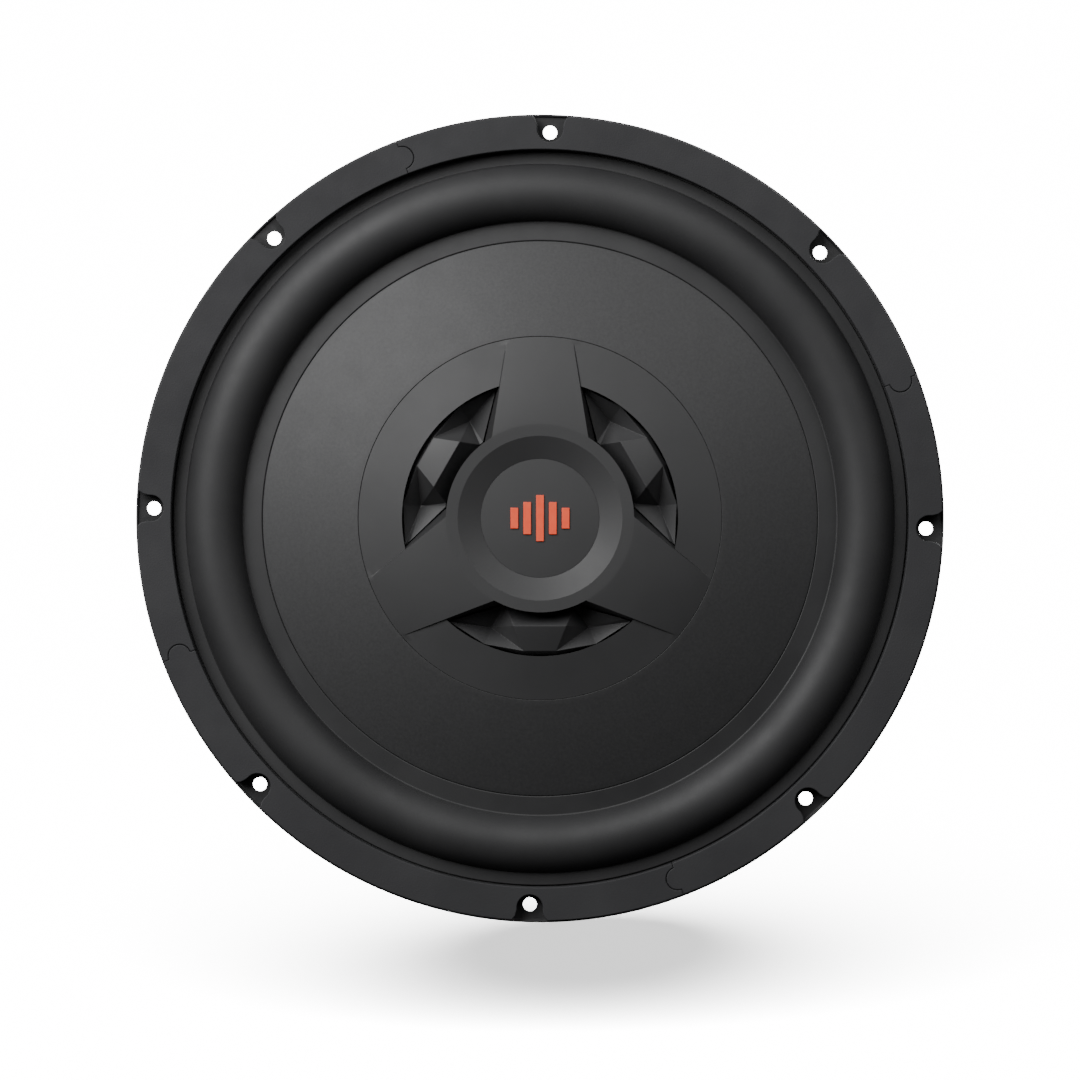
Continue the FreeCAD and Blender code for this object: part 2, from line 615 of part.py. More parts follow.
def motor_screws():
    """The screws that hold the basket to the top plate."""
    screws = []
    count = round(value("motor_screws"))
    for number in range(count):
        turn = f"{number} * 360 deg / motor_screws"
        across, up = f"motor_screw_circle / 2 * sin({turn})", f"motor_screw_circle / 2 * cos({turn})"
        head_front = f"({SEAT_FRONT} - screw_head_thick)"
        head = axial_cylinder(f"head_{number}", "screw_head_dia / 2", head_front, "screw_head_thick",
                              across, up)
        shank = axial_cylinder(f"shank_{number}", "motor_screw_dia / 2 - rivet_gap", SEAT_FRONT,
                               "sheet_thick + screw_grip", across, up)
        screws.append(joined(f"screw_{number}", [head, shank]))
    return group("motor_screws", screws)


def terminal_block():
    """The moulded block on the basket's shelf, with two hollow posts for the push caps."""
    body = new_body("terminal_block")
    base = new_sketch(body, "base_outline", "XZ_Plane", "shelf_station")
    rectangle(base, "0", "0 - block_centre", "(block_wide / 2)", "(block_deep / 2)")
    pad(body, base, "block_thick", "base", rearward=True)
    posts = new_sketch(body, "post_outline", "XZ_Plane", "shelf_station")
    bores = new_sketch(body, "bore_outline", "XZ_Plane", BORE_FRONT)
    slots = new_sketch(body, "slot_outline", "XZ_Plane", "shelf_station")
    rivets = new_sketch(body, "rivet_outline", "XZ_Plane")
    wires = new_sketch(body, "wire_outline", "XY_Plane")
    for side in ("-1", "1"):
        post = f"{side} * post_pitch / 2"
        circle(posts, post, "0 - block_centre", "post_dia / 2")
        circle(bores, post, "0 - block_centre", "plunger_dia / 2 + plunger_gap")
        rectangle(slots, post, "0 - block_centre - tab_inset",
                  "(tab_wide / 2 + slot_gap)", "(tab_thick / 2 + slot_gap)")
        circle(rivets, f"{side} * {RIVET_SIDE}", "0 - block_centre", "rivet_dia / 2 + rivet_gap")
        circle(wires, post, f"{POST_REAR} - wire_depth", "wire_hole / 2")
    pad(body, posts, "block_thick + post_tall", "posts", rearward=True)
    cut(body, bores, "bores", "block_thick + post_tall")
    cut(body, slots, "slots", "block_floor + 1")
    cut(body, rivets, "rivet_holes")
    cut(body, wires, "wire_holes")
    return body


def terminal_contact(name, side):
    """A brass contact: a round foot under the spring and a solder tab through the basket's shelf."""
    post = f"{side} * post_pitch / 2"
    centre = "0 - block_centre"
    foot = axial_cylinder(name + "_foot", "plunger_dia / 2 - slot_gap", BORE_FRONT, "tab_thick",
                          post, centre)
    tab = document.addObject("Part::Box", name + "_tab")
    tab.setExpression("Length", bound("tab_wide"))
    tab.setExpression("Width", bound("tab_reach + block_floor + tab_thick"))
    tab.setExpression("Height", bound("tab_thick"))
    tab_low = "0 - block_centre - tab_inset - tab_thick / 2"
    place_at(tab, f"{post} - tab_wide / 2", "shelf_station - tab_reach", tab_low)
    return joined(name, [foot, tab])


def terminal_spring(name, side):
    """The coil spring between the contact and the push cap's stem."""
    seat = f"({BORE_FRONT} + tab_thick + spring_wire / 2 + glue_gap)"
    length = f"({PLUNGER_FRONT} - {seat} - spring_wire / 2 - glue_gap)"
    radius = "((spring_dia - spring_wire) / 2)"
    spine = document.addObject("Part::Helix", name + "_spine")
    spine.setExpression("Radius", bound(radius))
    spine.setExpression("Height", bound(length))
    spine.setExpression("Pitch", bound(f"{length} / spring_turns"))
    wire = document.addObject("Part::Circle", name + "_wire")
    wire.setExpression("Radius", bound("spring_wire / 2"))
    wire.Placement = FreeCAD.Placement(Vector(), FreeCAD.Rotation(Vector(1, 0, 0), 90))
    wire.setExpression("Placement.Base.x", bound(radius))
    spring = document.addObject("Part::Sweep", name)
    spring.Sections = [wire]
    spring.Spine = (spine, ["Edge1"])
    spring.Solid = True
    spring.Frenet = True
    spring.Placement = FreeCAD.Placement(Vector(), FreeCAD.Rotation(Vector(1, 0, 0), -90))
    place_at(spring, f"{side} * post_pitch / 2", seat, "0 - block_centre")
    return spring


def push_cap(name, side):
    """A push cap, its stem in the post's bore. Pressed home, its cross hole meets the post's wire hole."""
    body = new_body(name)
    stem, cap = "(plunger_dia / 2)", "(cap_dia / 2)"
    cap_front = f"({POST_REAR} + press)"
    cap_rear = f"({POST_REAR} + press + cap_thick)"
    revolve(body, "cap", [
        ("0", PLUNGER_FRONT), (stem, PLUNGER_FRONT), (stem, cap_front), (cap, cap_front),
        (cap, f"{cap_rear} - 1"), (f"{cap} - 1", cap_rear), ("0", cap_rear),
    ])
    wire_station = f"{POST_REAR} - wire_depth + press"
    wire = circle(new_sketch(body, "wire_outline"), "0", wire_station, "wire_hole / 2")
    cut(body, wire, "wire_hole")
    place_at(body, f"{side} * post_pitch / 2", "0", "0 - block_centre")
    return body


def terminal_rivets():
    """The two rivets through the block and the basket's shelf."""
    rivets = []
    for number, side in enumerate(("-1", "1")):
        across, up = f"{side} * {RIVET_SIDE}", "0 - block_centre"
        front_head = axial_cylinder(f"front_head_{number}", "rivet_head / 2",
                                    f"{SHELF_FRONT} - rivet_thick", "rivet_thick", across, up)
        shank = axial_cylinder(f"rivet_shank_{number}", "rivet_dia / 2", SHELF_FRONT,
                               "sheet_thick + block_thick", across, up)
        rear_head = axial_cylinder(f"rear_head_{number}", "rivet_head / 2", BLOCK_REAR, "rivet_thick",
                                   across, up)
        rivets.append(joined(f"rivet_{number}", [front_head, shank, rear_head]))
    return group("terminal_rivets", rivets)


def tinsel_lead(name, side):
    """The braided lead from a solder tab to the former, with slack for the stroke."""
    tab_up = -value("block_centre + tab_inset")
    tab_tip = Vector(value("post_pitch / 2"), value("shelf_station - tab_reach"), tab_up)
    former = value(FORMER_OUTER) + 0.2 * value("lead_dia")
    collar = (value("neck_station + cone_wall + neck_collar") + value("spider_station - spider_wave")) / 2
    between = [Vector(11, 9.5, -102), Vector(10.5, 8.5, -89), Vector(9.5, 12, -75), Vector(8.5, 14.5, -61),
               Vector(7.5, 15, -47)]
    points = [tab_tip] + between + [Vector(6, collar, -math.sqrt(former**2 - 36))]
    edges, length = rounded_path([Vector(side * point.x, point.y, point.z) for point in points])
    start = edges[0].tangentAt(edges[0].FirstParameter)
    mouth = edges[0].valueAt(edges[0].FirstParameter)
    section = Part.Wire(Part.makeCircle(value("lead_dia") / 2, mouth, start))
    lead = document.addObject("Part::Feature", name)
    lead.Shape = Part.Wire(edges).makePipeShell([section], True, True)
    lead.Placement = FreeCAD.Placement()
    full = math.pi * value("lead_dia") ** 2 / 4 * length
    print(name, f"length {length:.1f} volume {lead.Shape.Volume:.1f} of {full:.1f}")
    return lead


def rounded_path(points):
    """Straight runs between the points, with the largest tangent arc that each corner has room for."""
    edges, length, start = [], 0, points[0]
    for before, corner, after in zip(points, points[1:], points[2:]):
        arriving, leaving = corner - before, after - corner
        half_turn = arriving.getAngle(leaving) / 2
        setback = 0.45 * min(arriving.Length, leaving.Length)
        print(f"  bend radius {setback / math.tan(half_turn):.1f}")
        first = corner - Vector(arriving).normalize() * setback
        last = corner + Vector(leaving).normalize() * setback
        inward = (Vector(leaving).normalize() - Vector(arriving).normalize()).normalize()
        middle = corner + inward * setback * math.tan(half_turn / 2)
        edges += [Part.LineSegment(start, first).toShape(), Part.Arc(first, middle, last).toShape()]
        start = last
    edges.append(Part.LineSegment(start, points[-1]).toShape())
    return edges, sum(edge.Length for edge in edges)


def main():
    former_front = "(0 - former_front)"
    parts = [basket(), surround(), cone(), hub_cover(), centre_badge(), badge_emblem(), spider()]
    parts += [gasket_segment(number) for number in range(1, 5)]
    parts += [window_insert(number) for number in range(1, 4)]
    parts.append(ring("voice_coil_former", "(former_bore / 2)", FORMER_OUTER, former_front, "former_tail"))
    parts.append(ring("voice_coil_winding", FORMER_OUTER, f"({FORMER_OUTER} + coil_build)", "coil_front",
                      "(coil_front + coil_length)"))
    parts += [top_plate(), yoke(), vent_mesh(), magnet_boot(), motor_screws()]
    parts.append(ring("magnet", "magnet_inner", "magnet_outer", PLATE_REAR, MAGNET_REAR))
    parts.append(ring("shorting_ring", "(magnet_inner - boot_gap - ring_wall)", "(magnet_inner - boot_gap)",
                      PLATE_REAR, f"({PLATE_REAR} + ring_length)"))
    parts += [terminal_block(), terminal_rivets()]
    for word, side in (("positive", 1), ("negative", -1)):
        parts.append(terminal_contact(f"contact_{word}", side))
        parts.append(terminal_spring(f"spring_{word}", side))
        parts.append(push_cap(f"push_cap_{word}", side))
        parts.append(tinsel_lead(f"tinsel_lead_{word}", side))
    document.recompute()
    for item in document.Objects:
        if "Invalid" in item.State or "Error" in item.State:
            raise RuntimeError(f"{item.Name} failed: {item.State}")
    for part in parts:
        if part.Shape.isNull() or not part.Shape.isValid():
            raise RuntimeError(f"{part.Label} has no valid shape")
    os.makedirs("parts", exist_ok=True)
    for part in parts:
        part.Shape.exportStep(f"parts/{part.Label}.step")
        print(f"{part.Label}: {len(part.Shape.Solids)} solid(s), {part.Shape.Volume:.0f} mm3")


main()
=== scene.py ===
import math

import bpy
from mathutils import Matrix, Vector


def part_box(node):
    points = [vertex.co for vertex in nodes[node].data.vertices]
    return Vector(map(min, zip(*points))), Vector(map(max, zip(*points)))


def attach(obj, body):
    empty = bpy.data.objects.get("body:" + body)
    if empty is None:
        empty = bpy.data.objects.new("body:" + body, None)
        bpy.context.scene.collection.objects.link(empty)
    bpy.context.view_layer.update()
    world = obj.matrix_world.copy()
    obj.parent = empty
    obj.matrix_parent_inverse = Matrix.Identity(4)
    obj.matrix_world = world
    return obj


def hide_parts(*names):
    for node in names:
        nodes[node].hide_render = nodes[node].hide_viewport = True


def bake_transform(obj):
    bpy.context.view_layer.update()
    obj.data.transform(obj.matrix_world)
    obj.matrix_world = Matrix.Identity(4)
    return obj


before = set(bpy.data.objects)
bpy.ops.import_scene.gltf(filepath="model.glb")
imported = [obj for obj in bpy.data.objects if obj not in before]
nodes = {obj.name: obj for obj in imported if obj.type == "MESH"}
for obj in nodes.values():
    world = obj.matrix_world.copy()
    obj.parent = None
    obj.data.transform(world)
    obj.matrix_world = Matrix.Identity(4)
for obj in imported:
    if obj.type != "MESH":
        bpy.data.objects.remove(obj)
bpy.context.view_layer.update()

# A twelve inch shallow-mount car subwoofer. Sizes are millimetres, turned to metres by MM. The axis is Y and
# the front faces -Y. A "station" is a place along +Y, a "rise" is how far something stands forward of the
# flange, and a "circle" is the radius on which holes or screws stand.
MM = 0.001
TURN_STEPS = 256
ARC_STEPS = 5


# ---------------------------------------------------------------- hand work

def only(piece):
    """Make one piece the active one and the only one selected."""
    bpy.ops.object.select_all(action="DESELECT")
    piece.select_set(True)
    bpy.context.view_layer.objects.active = piece


def edit(piece):
    only(piece)
    bpy.ops.object.mode_set(mode="EDIT")
    bpy.ops.mesh.select_all(action="SELECT")


def done():
    bpy.ops.object.mode_set(mode="OBJECT")


def clean(piece, smooth=35):
    """Merge doubles, drop loose edges, turn the faces outward and smooth all but the real edges."""
    edit(piece)
    bpy.ops.mesh.remove_doubles(threshold=0.002 * MM)
    bpy.ops.mesh.delete_loose()
    bpy.ops.mesh.select_all(action="SELECT")
    bpy.ops.mesh.normals_make_consistent(inside=False)
    done()
    only(piece)
    bpy.ops.object.shade_smooth_by_angle(angle=math.radians(smooth))
    return piece


def soften(piece, width, segments=2, angle=35, smooth=None):
    """Round the edges that turn by more than an angle, then smooth all but the edges sharper than smooth."""
    only(piece)
    bevel = piece.modifiers.new("soft_edges", "BEVEL")
    bevel.width = width * MM
    bevel.segments = segments
    bevel.limit_method = "ANGLE"
    bevel.angle_limit = math.radians(angle)
    bevel.use_clamp_overlap = True
    bpy.ops.object.modifier_apply(modifier=bevel.name)
    bpy.ops.object.shade_smooth_by_angle(angle=math.radians(smooth or angle))
    return piece


def join(name, pieces):
    """Several finished shapes as one piece."""
    bpy.ops.object.select_all(action="DESELECT")
    for piece in pieces:
        piece.select_set(True)
    bpy.context.view_layer.objects.active = pieces[0]
    bpy.ops.object.join()
    pieces[0].name = name
    return pieces[0]


def shape_with(piece, place):
    """Move every vertex to where place(x, y, z) says, in millimetres."""
    for vertex in piece.data.vertices:
        x, y, z = vertex.co / MM
        vertex.co = Vector(place(x, y, z)) * MM


def carve(piece, cutter):
    """Cut one shape out of another and throw the cutter away."""
    only(piece)
    boolean = piece.modifiers.new("cut", "BOOLEAN")
    boolean.operation = "DIFFERENCE"
    boolean.solver = "EXACT"
    boolean.object = cutter
    bpy.ops.object.modifier_apply(modifier=boolean.name)
    bpy.data.objects.remove(cutter)
    return piece


def polar(radius, turn, station=0.0):
    """A place at a radius and an azimuth in degrees, clockwise from the top as seen from the front."""
    return (radius * math.sin(math.radians(turn)), station, radius * math.cos(math.radians(turn)))


def rounded(corners):
    """The points of a closed outline. A corner with a third number is rounded by an arc of that radius."""
    points = []
    for index, corner in enumerate(corners):
        here = Vector(corner[:2])
        radius = corner[2] if len(corner) > 2 else 0
        if not radius:
            points.append(here)
            continue
        before = (Vector(corners[index - 1][:2]) - here).normalized()
        after = (Vector(corners[(index + 1) % len(corners)][:2]) - here).normalized()
        half = before.angle(after) / 2
        first, last = here + before * radius / math.tan(half), here + after * radius / math.tan(half)
        centre = here + (before + after).normalized() * radius / math.sin(half)
        for step in range(ARC_STEPS + 1):
            chord = first.lerp(last, step / ARC_STEPS)
            points.append(centre + (chord - centre).normalized() * radius)
    return points


def arch(start, stop, height, steps):
    """Points on the arc that stands a height to the left of the line from start to stop, without its ends."""
    start, stop = Vector(start), Vector(stop)
    half = (stop - start).length / 2
    radius = (half * half + height * height) / (2 * abs(height))
    along = (stop - start).normalized()
    left = Vector((-along.y, along.x)) * math.copysign(1, height)
    centre = (start + stop) / 2 + left * (abs(height) - radius)
    reach = math.acos((radius - abs(height)) / radius)
    points = []
    for step in range(1, steps):
        swing = reach * (2 * step / steps - 1)
        points.append(tuple(centre + left * radius * math.cos(swing) + along * radius * math.sin(swing)))
    return points


def loop_of(name, points):
    """A closed loop of edges through points of (x, y) in millimetres, from a plain circle."""
    bpy.ops.object.select_all(action="DESELECT")
    bpy.ops.mesh.primitive_circle_add(vertices=len(points), radius=1, fill_type="NOTHING")
    piece = bpy.context.object
    piece.name = name
    piece.data.name = name
    for vertex, point in zip(piece.data.vertices, points):
        vertex.co = (point[0] * MM, point[1] * MM, 0)
    return piece


def turned(name, corners, steps=TURN_STEPS, smooth=35):
    """A piece turned about the speaker's axis from a closed outline of (radius, station, rounding) corners."""
    piece = loop_of(name, rounded(corners))
    edit(piece)
    bpy.ops.mesh.spin(steps=steps, angle=math.tau, center=(0, 0, 0), axis=(0, 1, 0))
    done()
    return clean(piece, smooth)


def slab(name, points, station, thick):
    """A flat plate with an outline of (x, z) points, from a station forward by its thickness."""
    piece = loop_of(name, points)
    shape_with(piece, lambda x, y, z: (x, station, y))
    edit(piece)
    bpy.ops.mesh.edge_face_add()
    bpy.ops.mesh.extrude_region_move(TRANSFORM_OT_translate={"value": (0, -thick * MM, 0)})
    done()
    return clean(piece)


def rod(name, radius, start, stop, across=0.0, up=0.0, sides=32):
    """A plain rod along the axis' direction, a start for a boss, a pin or a cutter."""
    bpy.ops.object.select_all(action="DESELECT")
    bpy.ops.mesh.primitive_cylinder_add(
        vertices=sides, radius=radius * MM, depth=abs(stop - start) * MM, rotation=(math.pi / 2, 0, 0),
        location=(across * MM, (start + stop) / 2 * MM, up * MM),
    )
    piece = bpy.context.object
    piece.name = name
    bpy.ops.object.transform_apply(location=True, rotation=True, scale=True)
    return piece


def block(name, low, high):
    """A plain block between two corners, a start for a bar, a tab or a cutter."""
    bpy.ops.object.select_all(action="DESELECT")
    bpy.ops.mesh.primitive_cube_add(size=MM)
    piece = bpy.context.object
    piece.name = name
    middle = [(a + b) / 2 for a, b in zip(low, high)]
    shape_with(piece, lambda *place: [m + p * (b - a) for m, p, a, b in zip(middle, place, low, high)])
    return piece


def copy_of(piece, name, place):
    """A copy with a mesh of its own, its vertices moved to where place(x, y, z) says."""
    copy = piece.copy()
    copy.data = piece.data.copy()
    copy.name = name
    bpy.context.collection.objects.link(copy)
    shape_with(copy, place)
    return copy


def swung(turn):
    """A turn about the axis, clockwise as seen from the front, as a move of one point."""
    sine, cosine = math.sin(math.radians(turn)), math.cos(math.radians(turn))
    return lambda x, y, z: (x * cosine + z * sine, y, z * cosine - x * sine)


def shifted(across, along, up):
    return lambda x, y, z: (x + across, y + along, z + up)


def refined(node, width=0.0, segments=2, angle=30):
    """A merged copy of a CAD node with its edges rounded."""
    piece = bpy.data.objects.new(node + "_finished", nodes[node].data.copy())
    bpy.context.collection.objects.link(piece)
    piece.data.materials.clear()
    edit(piece)
    bpy.ops.mesh.remove_doubles(threshold=0.002 * MM)
    bpy.ops.mesh.select_all(action="SELECT")
    bpy.ops.mesh.dissolve_limited(angle_limit=math.radians(0.5))
    done()
    if width:
        soften(piece, width, segments, angle)
    only(piece)
    bpy.ops.object.shade_smooth_by_angle(angle=math.radians(angle))
    return piece


def finish_piece(piece, material, slot, body, *stands_for):
    """Give a piece its material and its body, and hide what it stands for. The slot argument is not used."""
    piece.data.materials.clear()
    piece.data.materials.append(material)
    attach(piece, body)
    if stands_for:
        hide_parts(*stands_for)
    return piece


# ---------------------------------------------------------------- finishes

class Finish:
    """A material in the making: its Principled shader, and the patterns that vary it."""

    def __init__(self, name, colour, roughness, metallic=0.0, specular=0.5, coat=0.0, sheen=0.0):
        self.material = bpy.data.materials.new(name)
        self.material.use_nodes = True
        self.tree = self.material.node_tree
        self.surface = self.tree.nodes["Principled BSDF"]
        self.place = self.tree.nodes.new("ShaderNodeTexCoord").outputs["Object"]
        self.normal = None
        looks = (("Base Color", (*colour, 1)), ("Roughness", roughness), ("Metallic", metallic),
                 ("Specular IOR Level", specular), ("Coat Weight", coat), ("Sheen Weight", sheen))
        for socket, number in looks:
            self.surface.inputs[socket].default_value = number

    def add(self, kind, settings=None, **sockets):
        node = self.tree.nodes.new("ShaderNode" + kind)
        for setting, choice in (settings or {}).items():
            setattr(node, setting, choice)
        for socket, source in sockets.items():
            target = node.inputs[socket]
            if isinstance(source, bpy.types.NodeSocket):
                self.tree.links.new(source, target)
            else:
                target.default_value = source
        return node

    def noise(self, scale, detail=4.0, rough=0.55):
        pattern = self.add("TexNoise", Vector=self.place, Scale=scale, Detail=detail, Roughness=rough)
        return pattern.outputs["Fac"]

    def cells(self, scale):
        return self.add("TexVoronoi", Vector=self.place, Scale=scale).outputs["Distance"]

    def math(self, operation, first, second=0.0):
        node = self.tree.nodes.new("ShaderNodeMath")
        node.operation = operation
        for socket, source in zip(node.inputs, (first, second)):
            if isinstance(source, bpy.types.NodeSocket):
                self.tree.links.new(source, socket)
            else:
                socket.default_value = source
        return node.outputs[0]

    def ramp(self, factor, low, high, start=0.3, stop=0.7):
        """Numbers from low to high as a pattern goes from start to stop."""
        return self.add("MapRange", Value=factor, **{"From Min": start, "From Max": stop, "To Min": low,
                                                     "To Max": high}).outputs[0]

    def radius(self):
        """The distance from the speaker's axis, in metres."""
        parts = self.add("SeparateXYZ", Vector=self.place)
        flat = self.add("CombineXYZ", X=parts.outputs["X"], Z=parts.outputs["Z"])
        return self.add("VectorMath", {"operation": "LENGTH"}, Vector=flat.outputs[0]).outputs["Value"]

    def azimuth(self):
        """The angle round the speaker's axis, in radians."""
        parts = self.add("SeparateXYZ", Vector=self.place)
        return self.math("ARCTAN2", parts.outputs["X"], parts.outputs["Z"])

    def station(self):
        return self.add("SeparateXYZ", Vector=self.place).outputs["Y"]

    def tint(self, factor, first, second, start=0.35, stop=0.65):
        """Vary the colour between two, as a pattern goes from start to stop."""
        ramp = self.tree.nodes.new("ShaderNodeValToRGB")
        ramp.color_ramp.elements[0].position, ramp.color_ramp.elements[1].position = start, stop
        ramp.color_ramp.elements[0].color, ramp.color_ramp.elements[1].color = (*first, 1), (*second, 1)
        self.tree.links.new(factor, ramp.inputs["Fac"])
        self.tree.links.new(ramp.outputs["Color"], self.surface.inputs["Base Color"])
        return self

    def gloss(self, factor, low, high, start=0.3, stop=0.7):
        self.tree.links.new(self.ramp(factor, low, high, start, stop), self.surface.inputs["Roughness"])
        return self

    def relief(self, height, depth, strength=1.0):
        """Raise the surface by a pattern, whose full range is a depth in millimetres."""
        bump = self.add("Bump", Height=height, Distance=depth * MM, Strength=strength)
        if self.normal:
            self.tree.links.new(self.normal, bump.inputs["Normal"])
        self.normal = bump.outputs["Normal"]
        self.tree.links.new(self.normal, self.surface.inputs["Normal"])
        return self


def moulded(name, colour, roughness, grain=0.02, specular=0.5, grain_scale=2600, spread=0.025):
    """Satin moulded plastic or rubber: a fine spark-eroded grain, faint flow clouds and a few scuffs."""
    finish = Finish(name, colour, roughness, specular=specular)
    clouds = finish.noise(22, 3)
    darker, lighter = [c * 0.93 for c in colour], [c * 1.07 for c in colour]
    finish.tint(clouds, darker, lighter)
    finish.gloss(finish.noise(60, 5, 0.65), roughness - spread, roughness + spread)
    finish.relief(finish.noise(grain_scale, 3, 0.6), grain)
    return finish


def satin_black():
    return moulded("satin_black", (0.030, 0.030, 0.031), 0.56, grain=0.014, grain_scale=3200).material


def cone_fibre():
    """Pressed fibre: short hairs lie every way in a dark resin, clouded where it was pressed denser."""
    finish = Finish("cone_fibre", (0.03, 0.03, 0.031), 0.56)
    hairs = finish.noise(900, 6, 0.75)
    finish.tint(hairs, (0.024, 0.024, 0.025), (0.037, 0.037, 0.038), 0.3, 0.7)
    finish.gloss(finish.noise(90, 4), 0.555, 0.59)
    finish.relief(hairs, 0.018).relief(finish.noise(3000, 2), 0.010)
    return finish.material


def surround_rubber():
    """Pressed butyl rubber: almost smooth, a bloom that clouds it, fine rings from the mould's turning."""
    finish = Finish("surround_rubber", (0.024, 0.024, 0.025), 0.6, specular=0.42)
    finish.tint(finish.noise(16, 5, 0.6), (0.020, 0.020, 0.021), (0.029, 0.029, 0.030))
    finish.gloss(finish.noise(45, 6, 0.7), 0.55, 0.66)
    rings = finish.math("SINE", finish.math("MULTIPLY", finish.radius(), 9000.0))
    finish.relief(rings, 0.0015).relief(finish.noise(2400, 3), 0.012)
    return finish.material


def gasket_rubber():
    """Moulded trim rubber with a pebbled matt skin."""
    finish = Finish("gasket_rubber", (0.026, 0.026, 0.028), 0.72, specular=0.36)
    finish.tint(finish.noise(30, 4), (0.023, 0.023, 0.025), (0.029, 0.029, 0.031))
    finish.gloss(finish.noise(90, 4), 0.67, 0.78)
    finish.relief(finish.cells(1500), 0.03).relief(finish.noise(3500, 3), 0.015)
    return finish.material


def powder_steel():
    """Powder coat on pressed steel: orange peel, and fine scuffs that shine."""
    finish = Finish("powder_steel", (0.02, 0.02, 0.021), 0.42, specular=0.5)
    finish.tint(finish.noise(120, 5, 0.7), (0.017, 0.017, 0.018), (0.026, 0.026, 0.027))
    finish.gloss(finish.noise(35, 6, 0.7), 0.34, 0.5)
    finish.relief(finish.noise(420, 2, 0.4), 0.05).relief(finish.noise(1800, 2), 0.012)
    return finish.material


def spider_cloth():
    """Resin-dipped cotton: a plain weave that follows the radius and the circle."""
    finish = Finish("spider_cloth", (0.45, 0.30, 0.14), 0.78, specular=0.25, sheen=0.15)
    around = finish.math("SINE", finish.math("MULTIPLY", finish.azimuth(), 420.0))
    outward = finish.math("SINE", finish.math("MULTIPLY", finish.radius(), 6200.0))
    weave = finish.math("MULTIPLY", around, outward)
    finish.tint(finish.ramp(weave, 0, 1, -1, 1), (0.30, 0.185, 0.075), (0.52, 0.36, 0.18), 0.1, 0.9)
    finish.gloss(finish.noise(80, 4), 0.68, 0.86)
    finish.relief(weave, 0.12).relief(finish.noise(1500, 4), 0.03)
    return finish.material


def zinc_steel():
    """Zinc plate on forged steel: a grey bloom, faint turning marks, darker spots where it was handled."""
    finish = Finish("zinc_steel", (0.4, 0.4, 0.39), 0.38, metallic=1.0)
    finish.tint(finish.noise(260, 6, 0.7), (0.34, 0.34, 0.33), (0.42, 0.42, 0.41))
    finish.gloss(finish.noise(190, 5), 0.32, 0.42)
    rings = finish.math("SINE", finish.math("MULTIPLY", finish.radius(), 14000.0))
    finish.relief(rings, 0.003).relief(finish.noise(700, 4), 0.006)
    return finish.material


def aluminium():
    finish = Finish("former_aluminium", (0.75, 0.76, 0.78), 0.3, metallic=1.0)
    rolled = finish.math("SINE", finish.math("MULTIPLY", finish.station(), 20000.0))
    finish.tint(finish.noise(90, 4), (0.68, 0.69, 0.71), (0.8, 0.81, 0.83))
    finish.gloss(finish.noise(200, 4), 0.24, 0.4)
    finish.relief(rolled, 0.002)
    return finish.material


def copper():
    finish = Finish("copper_wire", (0.62, 0.27, 0.12), 0.3, metallic=0.9, coat=0.5)
    finish.tint(finish.noise(300, 3), (0.5, 0.2, 0.08), (0.68, 0.31, 0.14))
    finish.gloss(finish.noise(240, 4), 0.22, 0.38)
    return finish.material


def ferrite():
    """Ground ferrite: a dense dark ceramic with small pits and pale grinding dust."""
    finish = Finish("ferrite", (0.06, 0.06, 0.065), 0.55, specular=0.6)
    finish.tint(finish.noise(500, 6, 0.8), (0.045, 0.045, 0.05), (0.085, 0.085, 0.09))
    finish.gloss(finish.noise(200, 4), 0.45, 0.68)
    finish.relief(finish.ramp(finish.cells(900), 0, 1, 0.05, 0.2), 0.06)
    return finish.material


def boot_rubber():
    finish = moulded("boot_rubber", (0.026, 0.026, 0.027), 0.6, grain=0.03, grain_scale=1700, spread=0.08)
    finish.relief(finish.noise(14, 3), 0.15)
    return finish.material


def gilt_brass():
    finish = Finish("gilt_brass", (0.83, 0.6, 0.26), 0.22, metallic=1.0)
    finish.tint(finish.noise(160, 4), (0.76, 0.52, 0.2), (0.88, 0.66, 0.32))
    finish.gloss(finish.noise(260, 5), 0.15, 0.34)
    finish.relief(finish.noise(1500, 3), 0.008)
    return finish.material


def spring_steel():
    finish = Finish("spring_steel", (0.6, 0.6, 0.6), 0.22, metallic=1.0)
    finish.tint(finish.noise(300, 3), (0.5, 0.5, 0.5), (0.68, 0.68, 0.68))
    finish.gloss(finish.noise(400, 3), 0.16, 0.3)
    return finish.material


def solder():
    finish = Finish("solder", (0.62, 0.62, 0.63), 0.35, metallic=1.0)
    finish.tint(finish.noise(500, 4), (0.5, 0.5, 0.51), (0.72, 0.72, 0.73))
    finish.gloss(finish.noise(700, 4), 0.22, 0.5)
    finish.relief(finish.noise(900, 3), 0.05)
    return finish.material


def cement():
    """The black adhesive that squeezes out of each glued joint."""
    finish = Finish("joint_cement", (0.012, 0.012, 0.013), 0.38, specular=0.5)
    finish.tint(finish.noise(300, 3), (0.01, 0.01, 0.011), (0.016, 0.016, 0.017))
    finish.gloss(finish.noise(200, 3), 0.3, 0.45)
    finish.relief(finish.noise(260, 3), 0.15)
    return finish.material


def emblem_paint():
    """Orange-red pad print: even, a touch of texture, slightly glossier than the badge."""
    finish = Finish("emblem_orange", (0.94, 0.10, 0.04), 0.42)
    finish.tint(finish.noise(250, 3), (0.92, 0.09, 0.035), (0.96, 0.112, 0.044))
    finish.gloss(finish.noise(500, 3), 0.38, 0.48)
    finish.relief(finish.noise(2500, 2), 0.01)
    return finish.material


def cap_plastic(name, colour):
    """Glossy cap plastic with fine handling scratches."""
    finish = Finish(name, colour, 0.26, coat=0.3)
    finish.tint(finish.noise(180, 3), [c * 0.9 for c in colour], [c * 1.1 for c in colour])
    finish.gloss(finish.noise(900, 5, 0.8), 0.18, 0.36)
    finish.relief(finish.noise(1200, 3), 0.008)
    return finish.material


